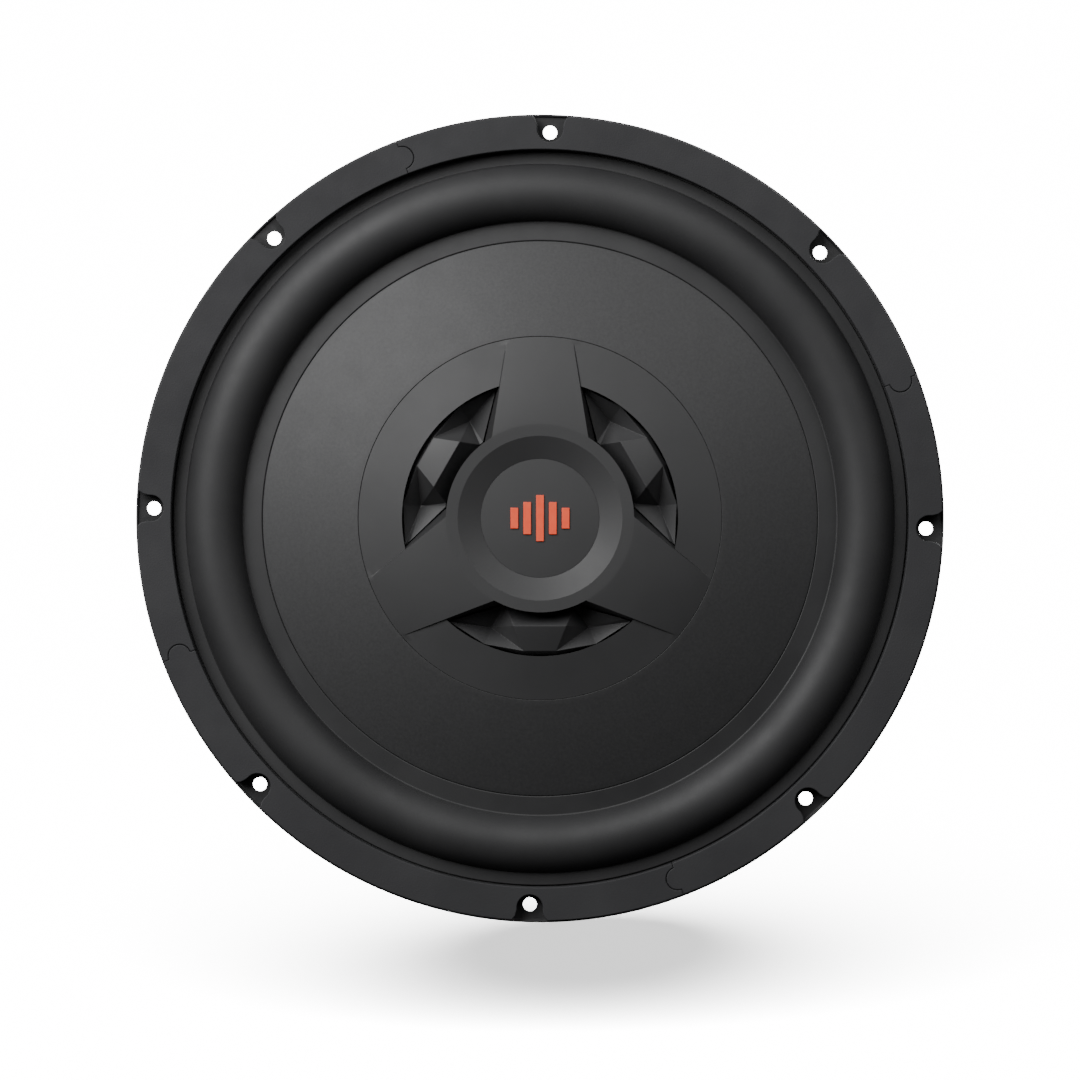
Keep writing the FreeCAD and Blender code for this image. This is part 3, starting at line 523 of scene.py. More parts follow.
def braid():
    """A braided tinsel lead: copper and tinned strands cross over a cotton core, along the lead's own UV."""
    finish = Finish("tinsel_braid", (0.6, 0.36, 0.2), 0.4, metallic=0.75)
    along = finish.add("UVMap").outputs["UV"]
    parts = finish.add("SeparateXYZ", Vector=along)
    lengthwise = finish.math("MULTIPLY", parts.outputs["X"], 260.0)
    around = finish.math("MULTIPLY", parts.outputs["Y"], math.tau * 4)
    one = finish.math("SINE", finish.math("ADD", lengthwise, around))
    other = finish.math("SINE", finish.math("SUBTRACT", lengthwise, around))
    crossing = finish.math("MAXIMUM", one, other)
    finish.tint(finish.ramp(crossing, 0, 1, -0.2, 1), (0.30, 0.15, 0.08), (0.78, 0.52, 0.34), 0.1, 0.9)
    finish.gloss(finish.noise(900, 3), 0.3, 0.5)
    finish.relief(crossing, 0.25)
    return finish.material


# ---------------------------------------------------------------- sizes from the frame

def radius_of(node):
    """How far a round node reaches from the axis. Facets are a hair off, so sizes are read to a tenth."""
    return round(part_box(node)[1].x / MM, 1)


def front_of(node):
    return round(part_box(node)[0].y / MM, 1)


def rear_of(node):
    return round(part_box(node)[1].y / MM, 1)


def middle_of(node):
    """The middle of a node's box."""
    low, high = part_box(node)
    return [round((a + b) / 2 / MM, 1) for a, b in zip(low, high)]


RIM = radius_of("basket")
FORMER = radius_of("voice_coil_former")
FLANGE_FRONT = rear_of("gasket_segment_1")
SEAT_REAR = rear_of("basket")
SHELF_REAR = front_of("terminal_block")
MAGNET_REAR = rear_of("magnet")
BACK_REAR = rear_of("yoke")

SHEET = 1.5
LIP_WALL = 0.9
SHELF_FRONT = SHELF_REAR - SHEET
SEAT_FRONT = SEAT_REAR - SHEET


# ---------------------------------------------------------------- trim gasket

GASKET_INNER = 144.8
GASKET_OUTER = RIM - LIP_WALL - 0.2
GASKET_THICK = FLANGE_FRONT - front_of("gasket_segment_1")
GASKET_TURN = 69.1
SCREW_CIRCLE = RIM - 7.0
SCREW_TURN = 1.5
SCREWS = 8
NOTCH_HALF = 5.1
NOTCH_MOUTH = 6.9
NOTCH_DEPTH = 4.3
NOTCH_FLARE = 4.0
TAB_CENTRE = GASKET_INNER + 6.5
TAB_RADIUS = 4.4
SOCKET_RADIUS = TAB_RADIUS + 0.15
JOINT_TURN = 0.015


def circle_run(radius, start, stop, steps):
    """Points on a circle about the axis, as (x, z)."""
    run = [polar(radius, start + (stop - start) * step / steps) for step in range(steps + 1)]
    return [(x, z) for x, _, z in run]


def notch_run(turn, steps=20):
    """The U-shaped notch at a screw, from its left mouth to its right one."""
    bottom = SCREW_CIRCLE - NOTCH_DEPTH + NOTCH_HALF
    flare_half = NOTCH_HALF + 0.55
    side = [(-NOTCH_MOUTH, math.sqrt(GASKET_OUTER**2 - NOTCH_MOUTH**2)),
            (-flare_half, GASKET_OUTER - 0.45 * NOTCH_FLARE), (-NOTCH_HALF, GASKET_OUTER - NOTCH_FLARE)]
    swings = [math.pi * step / steps for step in range(steps + 1)]
    bend = [(-NOTCH_HALF * math.cos(swing), bottom - NOTCH_HALF * math.sin(swing)) for swing in swings]
    other = [(-x, up) for x, up in reversed(side)]
    turn_it = swung(turn)
    return [turn_it(x, 0, up)[::2] for x, up in side + bend + other]


def tab_run(turn, radius, outward, steps=24):
    """The round end of a gasket quarter, across the band at one azimuth, outward or inward."""
    points = []
    for step in range(steps + 1):
        swing = math.pi * step / steps
        across, up = radius * math.sin(swing), TAB_CENTRE - radius * math.cos(swing)
        points.append(swung(turn)(across, 0, up)[::2])
    return points if outward else points[::-1]


def gasket_quarter():
    first, last = GASKET_TURN - 90 + JOINT_TURN, GASKET_TURN - JOINT_TURN
    mouth = math.degrees(math.asin(NOTCH_MOUTH / GASKET_OUTER))
    one, two = SCREW_TURN, SCREW_TURN + 360 / SCREWS
    outline = circle_run(GASKET_OUTER, first, one - mouth, 24)[:-1] + notch_run(one)
    outline += circle_run(GASKET_OUTER, one + mouth, two - mouth, 44)[1:-1] + notch_run(two)
    outline += circle_run(GASKET_OUTER, two + mouth, last, 24)[1:]
    outline += tab_run(last, TAB_RADIUS, False)
    outline += circle_run(GASKET_INNER, last, first, 96)
    outline += tab_run(first, SOCKET_RADIUS, True)
    quarter = slab("gasket_quarter", outline, FLANGE_FRONT, GASKET_THICK)
    return soften(quarter, 0.35, segments=3, angle=50)


# ---------------------------------------------------------------- surround, cone, spider

CONE_EDGE = 109.1
CONE_EDGE_RISE = 3.0
CONE_SLOPE = 18.0
CONE_WALL = 1.3
ROLL_INNER = 117.2
ROLL_OUTER = 139.4
ROLL_HEIGHT = 9.6
ROLL_FOOT = -1.1
ROLL_STEPS = 40
RUBBER = 1.2


def surround():
    """The half-roll, with its flat outer edge under the gasket and its inner edge on the cone."""
    edge_front = FLANGE_FRONT - RUBBER
    inner, edge = CONE_EDGE + 0.12, GASKET_INNER - 0.5
    rear_foot, rear_edge, rear_height = ROLL_FOOT + 0.2, edge_front + 0.2, ROLL_HEIGHT - 0.75 * RUBBER
    outline = [(inner, RUBBER - CONE_EDGE_RISE), (inner, -CONE_EDGE_RISE, 0.45), (ROLL_INNER, ROLL_FOOT, 0.6)]
    outline += arch((ROLL_INNER, ROLL_FOOT), (ROLL_OUTER, edge_front), -ROLL_HEIGHT, ROLL_STEPS)
    outline += [(ROLL_OUTER, edge_front, 0.5), (edge, edge_front, 0.3), (edge, FLANGE_FRONT),
                (ROLL_OUTER - RUBBER, FLANGE_FRONT, 0.6)]
    outline += arch((ROLL_OUTER - RUBBER, rear_edge), (ROLL_INNER + RUBBER, rear_foot), rear_height, ROLL_STEPS)
    outline += [(ROLL_INNER + RUBBER, rear_foot, 0.4), (ROLL_INNER + 0.4, ROLL_FOOT + RUBBER, 0.4)]
    return turned("half_roll_surround", outline)


def bend_on_radius(piece):
    """Lay a ring's vertices out on one line by their radius, bake its transform, then put them back where they
    were.
    """
    places = [vertex.co.copy() for vertex in piece.data.vertices]
    for vertex in piece.data.vertices:
        vertex.co = (math.hypot(vertex.co.x, vertex.co.z), 0, 0)
    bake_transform(piece)
    for vertex, place in zip(piece.data.vertices, places):
        vertex.co = place


COVER_RADIUS = radius_of("hub_cover")
COVER_SEAM = 0.15
COVER_RISE = round(CONE_EDGE_RISE + (CONE_EDGE - COVER_RADIUS) * math.tan(math.radians(CONE_SLOPE)), 2)
COVER_THICK = 2.4


def cone(swell=0.55, steps=16):
    """The outer dish, which swells a little, a shallow step for the cover, and a neck glued to the former."""
    seat = COVER_THICK - COVER_RISE
    ledge = COVER_RADIUS + COVER_SEAM
    rim, rim_station = radius_of("cone") - 0.1, 0.1
    neck, neck_front, neck_rear = FORMER + 0.2, 12.0, rear_of("cone") - 0.1
    trough = COVER_RADIUS - 7.0
    outline = [(rim, rim_station), (CONE_EDGE + 0.1, RUBBER + 0.2 - CONE_EDGE_RISE),
               (CONE_EDGE, -CONE_EDGE_RISE, 0.35)]
    for step in range(steps - 1, 0, -1):
        share = step / steps
        straight = -COVER_RISE + (COVER_RISE - CONE_EDGE_RISE) * share
        outline.append((ledge + (CONE_EDGE - ledge) * share, straight - swell * math.sin(math.pi * share)))
    outline += [(ledge, -COVER_RISE, 0.15), (ledge, seat, 0.1), (trough, seat, 3.0), (neck, neck_front, 2.0),
                (neck, neck_rear), (neck + 1.2, neck_rear, 0.5), (neck + 1.4, neck_front + 1.0, 1.5),
                (trough + 0.6, seat + CONE_WALL, 3.0), (COVER_RADIUS + 1.7, seat + CONE_WALL, 2.0),
                (rim, rim_station + CONE_WALL)]
    return turned("dish_cone", outline)


SPIDER_FIRST = 36.1
SPIDER_LAST = 78.0


def spider(wave=2.2, waves=4, wall=0.8, station=22.0, steps=96):
    """Smooth corrugations between a flat collar on the former and a flat foot on the basket's shelf."""
    shelf = SHELF_FRONT - wall
    front = [(FORMER + 0.15, station), (SPIDER_FIRST, station)]
    for step in range(1, steps):
        share = step / steps
        height = station + (shelf - station) * share
        envelope = min(1, 6 * share, 6 * (1 - share))
        front.append((SPIDER_FIRST + (SPIDER_LAST - SPIDER_FIRST) * share,
                      height - envelope * wave * math.sin(math.tau * waves * share)))
    front += [(SPIDER_LAST, shelf), (radius_of("spider"), shelf)]
    rear = [(radius, along + wall) for radius, along in reversed(front)]
    return turned("woven_spider", front + rear, steps=192, smooth=60)


def cement_beads():
    """The fillets of cement where the cone's neck and the spider's collar meet the former."""
    inner = FORMER + 0.05
    neck, collar = 15.1, 22.1
    beads = [turned("neck_bead", [(inner, neck), (inner + 1.45, neck, 0.3), (inner + 1.05, neck + 0.6, 0.4),
                                  (inner, neck + 1.5)], smooth=60),
             turned("collar_bead", [(inner, collar - 1.2), (inner + 0.95, collar - 0.6, 0.4),
                                    (inner + 2.15, collar, 0.3), (inner, collar)], smooth=60)]
    return join("cement_beads", beads)


# ---------------------------------------------------------------- hub cover

HUB_RADIUS = 36.7
HUB_RISE = -front_of("hub_cover")
RECESS_OUTER = HUB_RADIUS - 4.6
RECESS_INNER = RECESS_OUTER - 8.9
BADGE_FRONT = front_of("centre_badge")
BADGE_REAR = rear_of("centre_badge")
WINDOW_RADIUS = HUB_RADIUS + 17.2
SPOKE_FOOT = 23.5
SPOKE_TAPER = 9.0
WALL_FOOT = 28.1
WALL_TAPER = 13.2
WALL_WIDTH = 0.45
RING_SLOPE = 12.5
SPOKE_STEPS = 10
WINDOW_STEPS = 32
RING_STEPS = 16
ROW_GAP = 0.02


def lean(foot, taper, radius):
    """The half angle of a spoke whose edge line passes the axis at foot and leans in by taper."""
    return math.degrees(math.asin(foot / max(radius, HUB_RADIUS))) - taper


def spoke_rise(radius):
    """The spokes leave the hub almost flat and meet the cone's slope at the cover's edge."""
    share = (COVER_RADIUS - max(radius, HUB_RADIUS)) / (COVER_RADIUS - HUB_RADIUS)
    outer_slope = math.tan(math.radians(CONE_SLOPE)) * (COVER_RADIUS - HUB_RADIUS) / (HUB_RISE - COVER_RISE)
    return COVER_RISE + (HUB_RISE - COVER_RISE) * (outer_slope * share + (1 - outer_slope) * share * share)


def ring_rise(radius):
    return COVER_RISE + (COVER_RADIUS - radius) * math.tan(math.radians(RING_SLOPE))


def wall_foot_rise(radius):
    """The foot of the walls under the spokes' sides rises outward."""
    return 11.0 + (radius - HUB_RADIUS) * 0.24


def spread(start, stop, steps, first=0):
    """Even steps from one number to another, without the first where it is told so."""
    return [start + (stop - start) * step / steps for step in range(first, steps + 1)]


def cover_rows():
    """The cover's rows from the middle out: (radius, zone, rise). Floor, bevel and land are the hub."""
    rows = [(radius, "hub", -BADGE_REAR) for radius in (0.0, 8.0, 16.0, RECESS_INNER)]
    bevel = zip(spread(RECESS_INNER, RECESS_OUTER, 4), spread(-BADGE_FRONT, HUB_RISE, 4))
    rows += [(radius, "hub", rise) for radius, rise in bevel]
    rows += [(radius, "hub", HUB_RISE) for radius in spread(RECESS_OUTER, HUB_RADIUS - ROW_GAP, 3, first=1)]
    window = spread(HUB_RADIUS + ROW_GAP, WINDOW_RADIUS - ROW_GAP, RING_STEPS)
    rows += [(radius, "window", 0) for radius in window]
    rows += [(radius, "ring", 0) for radius in spread(WINDOW_RADIUS, COVER_RADIUS, RING_STEPS)]
    return rows


def cover_columns():
    """The cover's columns in one third of a turn: (part, share) from one spoke's middle to the next."""
    columns = [("spoke", step / SPOKE_STEPS) for step in range(SPOKE_STEPS + 1)]
    columns += [("window", step / WINDOW_STEPS) for step in range(WINDOW_STEPS + 1)]
    columns += [("next", step / SPOKE_STEPS) for step in range(SPOKE_STEPS)]
    return columns


def cover_point(column, row, third):
    part, share = column
    radius, zone, rise = row
    edge = lean(SPOKE_FOOT, SPOKE_TAPER, radius)
    if zone == "ring":
        foot = edge + math.degrees(WALL_WIDTH / radius)
    else:
        foot = max(edge + math.degrees(WALL_WIDTH / HUB_RADIUS), lean(WALL_FOOT, WALL_TAPER, radius))
    if part == "spoke":
        turn = edge * share
    elif part == "next":
        turn = 120 - edge * (1 - share)
    else:
        turn = foot + (120 - 2 * foot) * share
    if zone != "hub":
        rise = spoke_rise(radius)
        if part == "window":
            rise = min(rise, ring_rise(radius)) if zone == "ring" else wall_foot_rise(radius)
    return polar(radius, 120 * third + turn, -rise)


def hub_cover():
    """The three-spoke cover: a grid wrapped round the axis, less its window cells, and given its wall."""
    rows, columns = cover_rows(), cover_columns()
    around = 3 * len(columns)
    bpy.ops.object.select_all(action="DESELECT")
    bpy.ops.mesh.primitive_grid_add(x_subdivisions=around, y_subdivisions=len(rows) - 1, size=1)
    piece = bpy.context.object
    piece.name = "spoked_hub_cover"
    edit(piece)
    bpy.ops.mesh.select_all(action="DESELECT")
    done()
    place_of = {}
    for vertex in piece.data.vertices:
        place = round((vertex.co.x + 0.5) * around) % around
        level = round((vertex.co.y + 0.5) * (len(rows) - 1))
        place_of[vertex.index] = (place, level)
        vertex.co = Vector(cover_point(columns[place % len(columns)], rows[level], place // len(columns))) * MM
    for polygon in piece.data.polygons:
        corners = [place_of[index] for index in polygon.vertices]
        parts = {columns[place % len(columns)][0] for place, _ in corners}
        zones = {rows[level][1] for _, level in corners}
        polygon.select = parts == {"window"} and "window" in zones
    bpy.ops.object.mode_set(mode="EDIT")
    bpy.ops.mesh.select_mode(type="FACE")
    bpy.ops.mesh.delete(type="FACE")
    bpy.ops.mesh.select_mode(type="VERT")
    bpy.ops.mesh.select_all(action="SELECT")
    bpy.ops.mesh.remove_doubles(threshold=0.002 * MM)
    bpy.ops.mesh.extrude_region_move(TRANSFORM_OT_translate={"value": (0, COVER_THICK * MM, 0)})
    done()
    clean(piece)
    return soften(piece, 0.22, segments=5, angle=40, smooth=17)


def centre_badge():
    """The plain disc, with a fine step round its face."""
    edge = RECESS_INNER - 0.06
    return turned("plain_badge", [(0, BADGE_REAR), (0, BADGE_FRONT), (edge, BADGE_FRONT, 0.08),
                                  (edge, BADGE_REAR, 0.1)], steps=192)


# ---------------------------------------------------------------- basket

SPIGOT = 139.5
SPIGOT_REAR = 12.0
SHELF_OUTER = 110.0
SHELF_INNER = 80.0
SEAT_OUTER = 70.0
SEAT_INNER = 42.0
SCREW_HOLE = 2.75
AIR_CIRCLE = (SHELF_INNER + SEAT_OUTER) / 2
AIR_HOLE = 3.5
ARMS = 8
ARM_HALF = 13.0
MOTOR_CIRCLE = 52.0
MOTOR_SCREWS = 6
BLOCK_UP = middle_of("terminal_block")[2]
POST_ACROSS = middle_of("push_cap_positive")[0]
RIVET_ACROSS = 22.2
TAB_UP = BLOCK_UP - 3.0


def basket():
    """The pressed steel chassis: rounded bends, eight windows, and holes for screws, air, rivets and tabs."""
    lip_front = front_of("basket")
    seat_bend, shelf_bend, wall_bend = SEAT_OUTER - 0.7 * SHEET, SHELF_INNER - 0.7 * SHEET, SPIGOT - SHEET
    shell = turned("pressed_basket", [
        (RIM, lip_front, 0.3), (RIM, 0.0, 1.0), (SPIGOT, 0.0, 1.2), (SPIGOT, SPIGOT_REAR, 2.2),
        (SHELF_OUTER, SHELF_REAR, 3.5), (SHELF_INNER, SHELF_REAR, 3.0), (SEAT_OUTER, SEAT_REAR, 2.5),
        (SEAT_INNER, SEAT_REAR, 0.2), (SEAT_INNER, SEAT_FRONT, 0.2), (seat_bend, SEAT_FRONT, 1.5),
        (shelf_bend, SHELF_FRONT, 3.5), (SHELF_OUTER - 0.4, SHELF_FRONT, 3.0),
        (wall_bend, SPIGOT_REAR - 0.6 * SHEET, 2.2), (wall_bend, FLANGE_FRONT, 1.2),
        (RIM - LIP_WALL, FLANGE_FRONT, 0.4), (RIM - LIP_WALL, lip_front, 0.3),
    ])
    between, screws = 360 / ARMS, 360 / SCREWS
    cutters = [arm_window(number) for number in range(ARMS)]
    cutters += [rod(f"screw_{k}", SCREW_HOLE, -5, 5, *polar(SCREW_CIRCLE, SCREW_TURN + screws * k)[::2])
                for k in range(SCREWS)]
    cutters += [rod(f"air_{k}", AIR_HOLE, 15, 45, *polar(AIR_CIRCLE, (k + 0.5) * between)[::2])
                for k in range(ARMS)]
    cutters += [rod(f"motor_{k}", SCREW_HOLE, 30, 45, *polar(MOTOR_CIRCLE, 360 / MOTOR_SCREWS * k)[::2])
                for k in range(MOTOR_SCREWS)]
    for side in (-1, 1):
        across = side * POST_ACROSS
        cutters.append(rod("rivet_hole", 1.55, 20, 30, side * RIVET_ACROSS, BLOCK_UP))
        cutters.append(block("tab_hole", (across - 3.5, 20, TAB_UP - 1.4), (across + 3.5, 30, TAB_UP + 1.4)))
    carve(shell, join("basket_cutters", cutters))
    return soften(clean(shell, 30), 0.12, segments=1, angle=50)


def arm_window(number):
    """The opening between two arms, its corners rounded as a press rounds them."""
    inner, outer, bend = SHELF_OUTER + 2.0, SPIGOT - SHEET - 4.0, 4.0
    half_turn = 180 / ARMS
    corners = []
    for radius, side in ((inner, 1), (outer, 1), (outer, -1), (inner, -1)):
        across, _, up = polar(radius, side * (half_turn - math.degrees(math.asin(ARM_HALF / radius))))
        corners.append((across, up, bend))
    window = slab(f"window_{number}", rounded(corners), 40, 60)
    shape_with(window, swung(half_turn + 2 * half_turn * number))
    return window


# ---------------------------------------------------------------- motor

def winding(turns=46, groove=0.28):
    """The voice coil: turns of round wire in a close layer."""
    front, rear, outer = (measure("voice_coil_winding") for measure in (front_of, rear_of, radius_of))
    pitch = (rear - front) / turns
    outline = [(FORMER, front)]
    for turn in range(turns):
        for share in (0.0, 0.25, 0.5, 0.75):
            outline.append((outer - groove * (1 - math.sin(math.pi * share)), front + (turn + share) * pitch))
    outline += [(outer - groove, rear), (FORMER, rear)]
    return turned("copper_winding", outline, steps=160, smooth=60)


def magnet_boot(grooves=4, groove=0.7, lip=60.0):
    """The rubber boot: a grooved side and stepped rings on the back."""
    front, rear, outside = (measure("magnet_boot") for measure in (front_of, rear_of, radius_of))
    inside = radius_of("magnet") + 0.3
    outline = [(inside, front), (outside, front, 0.6)]
    for number in range(grooves):
        start = front + 4.0 + number * 6.0
        outline += [(outside, start, 0.4), (outside - groove, start + 0.8, 0.4),
                    (outside - groove, start + 2.0, 0.4), (outside, start + 2.8, 0.4)]
    step, seat = rear - 0.6, BACK_REAR + 0.05
    outline += [(outside, rear, 3.0), (lip + 7.0, rear, 0.5), (lip + 6.4, step, 0.4), (lip + 4.4, step, 0.4),
                (lip + 3.8, rear, 0.5), (lip, rear, 0.7), (lip, seat, 0.3), (inside, seat, 1.0)]
    return turned("ribbed_boot", outline)


def yoke(vent=11.0, pole=31.0, ring=44.0):
    """The back plate and its vented pole: turned faces, a flared vent and a shallow ring groove on the back."""
    front, edge, floor = front_of("yoke"), radius_of("yoke"), BACK_REAR - 0.6
    return turned("forged_yoke", [
        (vent, front, 0.6), (pole, front, 0.9), (pole, MAGNET_REAR, 0.8), (edge, MAGNET_REAR, 0.6),
        (edge, BACK_REAR, 1.8), (ring + 3.0, BACK_REAR, 0.3), (ring + 2.4, floor, 0.3), (ring, floor, 0.3),
        (ring - 0.6, BACK_REAR, 0.3), (vent + 3.0, BACK_REAR, 2.4), (vent, BACK_REAR - 3.0, 1.2),
    ])


def pan_screw(head=4.5, shank=2.45, slot=2.3, slot_half=0.4):
    """One screw: a domed head with a cross recess, and its shank."""
    front, tip = front_of("motor_screws"), rear_of("motor_screws")
    under = SEAT_FRONT
    screw = turned("screw", [(0, front), (2.4, front, 1.5), (head, front + 1.1, 0.7), (head, under, 0.1),
                             (shank, under), (shank, tip - 0.8, 0.5), (0, tip - 0.1)], steps=40, smooth=45)
    for wide, tall in ((slot, slot_half), (slot_half, slot)):
        carve(screw, block("slot", (-wide, front - 1, -tall), (wide, front + 1.1, tall)))
    return clean(screw, 40)


def motor_screws():
    """Six equal screws, each turned home to its own angle."""
    pattern = pan_screw()
    screws = []
    for number in range(MOTOR_SCREWS):
        across, _, up = polar(MOTOR_CIRCLE, 360 / MOTOR_SCREWS * number)
        home = copy_of(pattern, f"screw_{number}", swung(17 + 53 * number))
        shape_with(home, shifted(across, 0, up))
        screws.append(home)
    bpy.data.objects.remove(pattern)
    return join("basket_screws", screws)


# ---------------------------------------------------------------- terminal

BLOCK_FACE = SHELF_REAR + 10.0
CAP_RADIUS = 5.75
CAP_FLUTES = 24


def polarity_marks(arm=2.2, half=0.45):
    """A raised plus beside the positive post and a minus beside the negative one."""
    front, rear = BLOCK_FACE - 0.2, BLOCK_FACE + 0.5
    up = BLOCK_UP + 9.4
    bars = [block("plus_flat", (POST_ACROSS - arm, front, up - half), (POST_ACROSS + arm, rear, up + half)),
            block("plus_tall", (POST_ACROSS - half, front, up - arm), (POST_ACROSS + half, rear, up + arm)),
            block("minus", (-POST_ACROSS - arm, front, up - half), (-POST_ACROSS + arm, rear, up + half))]
    return soften(join("polarity_marks", bars), 0.15, segments=2)


def push_cap(name, side, stem=4.15, wire_station=44.5):
    """A cap with grip flutes round its edge, on a stem with a cross hole for the wire."""
    front, top = front_of("push_cap_positive") + 0.05, rear_of("push_cap_positive")
    seat = top - 3.94
    cap = turned(name, [(0, front), (stem, front, 0.4), (stem, seat), (CAP_RADIUS, seat, 0.4),
                        (CAP_RADIUS, top, 0.9), (2.4, top, 0.6), (1.6, top - 0.5, 0.6), (0, top - 0.5)],
                 steps=96)

    def flute(x, y, z):
        if math.hypot(x, z) < CAP_RADIUS - 1.0 or y < seat + 0.3:
            return x, y, z
        scale = 1 - 0.035 * (0.5 + 0.5 * math.cos(CAP_FLUTES * math.atan2(x, z)))
        return x * scale, y, z * scale

    shape_with(cap, flute)
    wire_hole = rod("wire_hole", 1.6, -8, 8, sides=24)
    shape_with(wire_hole, lambda x, y, z: (x, wire_station + z, y))
    carve(cap, wire_hole)
    clean(cap, 40)
    shape_with(cap, shifted(side * POST_ACROSS, 0, BLOCK_UP))
    return cap


def spring(name, node):
    """The cap's spring between the fixed contact and the moving cap, as a merged copy of its node."""
    piece = refined(node, angle=60)
    piece.name = name
    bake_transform(piece)
    return piece


def rivets(shank=1.5, head=2.8):
    """Two rivets with domed heads."""
    front, rear = front_of("terminal_rivets"), rear_of("terminal_rivets")
    pattern = turned("rivet", [(0, front), (1.6, front + 0.05, 0.9), (head, front + 0.8, 0.3),
                               (head, SHELF_FRONT), (shank, SHELF_FRONT), (shank, BLOCK_FACE),
                               (head, BLOCK_FACE), (head, rear - 0.8, 0.3), (1.6, rear - 0.05, 0.9),
                               (0, rear)], steps=48, smooth=40)
    pair = [copy_of(pattern, "rivet_home", shifted(side * RIVET_ACROSS, 0, BLOCK_UP)) for side in (-1, 1)]
    bpy.data.objects.remove(pattern)
    return join("block_rivets", pair)


def solder_joint(name, side, wide=2.3, deep=1.7, tall=1.35):
    """A blob of solder where the braid meets the tab."""
    bpy.ops.object.select_all(action="DESELECT")
    bpy.ops.mesh.primitive_uv_sphere_add(segments=24, ring_count=14, radius=MM)
    blob = bpy.context.object
    blob.name = name
    shape_with(blob, lambda x, y, z: (wide * x * (1 - 0.12 * y), deep * y, tall * z * (1 + 0.1 * x)))
    shape_with(blob, shifted(side * POST_ACROSS, LEAD_EXIT[1] + 0.4, TAB_UP))
    return clean(blob, 180)


LEAD_DIAMETER = 2.2
LEAD_EXIT = (11, 20, -102)
LEAD_POINTS = (LEAD_EXIT, (11, 9.5, -102), (10.5, 8.5, -89), (9.5, 12, -75), (8.5, 14.5, -61), (7.5, 15, -47),
               (6, 17.35, -31.88))


def lead_curve(name, side, bevel):
    """The lead's smooth line through its given route, as a curve, with or without its thickness."""
    curve = bpy.data.curves.new(name, "CURVE")
    curve.dimensions = "3D"
    curve.resolution_u = 14
    curve.bevel_depth = LEAD_DIAMETER / 2 * MM if bevel else 0
    curve.bevel_resolution = 4
    curve.use_fill_caps = bevel
    spline = curve.splines.new("NURBS")
    spline.points.add(len(LEAD_POINTS) - 1)
    for point, (across, along, up) in zip(spline.points, LEAD_POINTS):
        point.co = (side * across * MM, along * MM, up * MM, 1)
    spline.order_u = 3
    spline.use_endpoint_u = True
    line = bpy.data.objects.new(name, curve)
    bpy.context.collection.objects.link(line)
    return line


def tinsel_lead(name, side):
    """The braided lead from its solder joint to the former, and the points of its centre line."""
    line = lead_curve(name + "_line", side, False)
    bpy.context.view_layer.update()
    path = [vertex.co.copy() for vertex in bpy.data.meshes.new_from_object(line).vertices]
    bpy.data.objects.remove(line)
    only(lead_curve(name, side, True))
    bpy.ops.object.convert(target="MESH")
    tube = bpy.context.object
    bpy.ops.object.shade_smooth_by_angle(angle=math.radians(60))
    return tube, path


# ---------------------------------------------------------------- the assembly

satin = satin_black()
steel = powder_steel()
rubber = surround_rubber()
trim = gasket_rubber()
fibre = cone_fibre()
cloth = spider_cloth()
zinc = zinc_steel()
brass = gilt_brass()
coil_steel = spring_steel()
plastic = moulded("terminal_plastic", (0.024, 0.024, 0.025), 0.5, grain=0.02).material
lead_braid = braid()
tin = solder()

quarter = gasket_quarter()
for number in range(1, 5):
    segment = copy_of(quarter, f"gasket_quarter_{number}", swung(90 * (number - 1)))
    finish_piece(segment, trim, "gasket_rubber", "frame", f"gasket_segment_{number}")
bpy.data.objects.remove(quarter)

roll = surround()
roll.data.materials.append(rubber)
bend_on_radius(roll)
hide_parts("surround")

finish_piece(cone(), fibre, "cone_fibre", "moving_assembly", "cone")
finish_piece(hub_cover(), satin, "satin_black", "moving_assembly", "hub_cover")
finish_piece(centre_badge(), satin, "satin_black", "moving_assembly", "centre_badge")
emblem = soften(refined("badge_emblem"), 0.12, segments=2)
finish_piece(emblem, emblem_paint(), "emblem_orange", "moving_assembly", "badge_emblem")
for number in range(1, 4):
    insert = refined(f"window_insert_{number}", 0.18, segments=3, angle=12)
    finish_piece(insert, satin, "satin_black", "moving_assembly", f"window_insert_{number}")

corrugated = spider()
corrugated.data.materials.append(cloth)
bend_on_radius(corrugated)
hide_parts("spider")

finish_piece(cement_beads(), cement(), "rubber", "moving_assembly")

finish_piece(basket(), steel, "black_steel", "frame", "basket")
finish_piece(refined("voice_coil_former", 0.1), aluminium(), "former_aluminium", "moving_assembly",
             "voice_coil_former")
finish_piece(winding(), copper(), "copper_wire", "moving_assembly", "voice_coil_winding")
finish_piece(refined("top_plate", 0.4), zinc, "zinc_steel", "frame", "top_plate")
finish_piece(yoke(), zinc, "zinc_steel", "frame", "yoke")
finish_piece(refined("magnet", 1.0, segments=3), ferrite(), "ferrite", "frame", "magnet")
finish_piece(magnet_boot(), boot_rubber(), "rubber", "frame", "magnet_boot")
finish_piece(motor_screws(), zinc, "zinc_steel", "frame", "motor_screws")
finish_piece(refined("vent_mesh", 0.0), steel, "black_steel", "frame", "vent_mesh")
finish_piece(refined("shorting_ring", 0.2), copper(), "copper_wire", "frame", "shorting_ring")

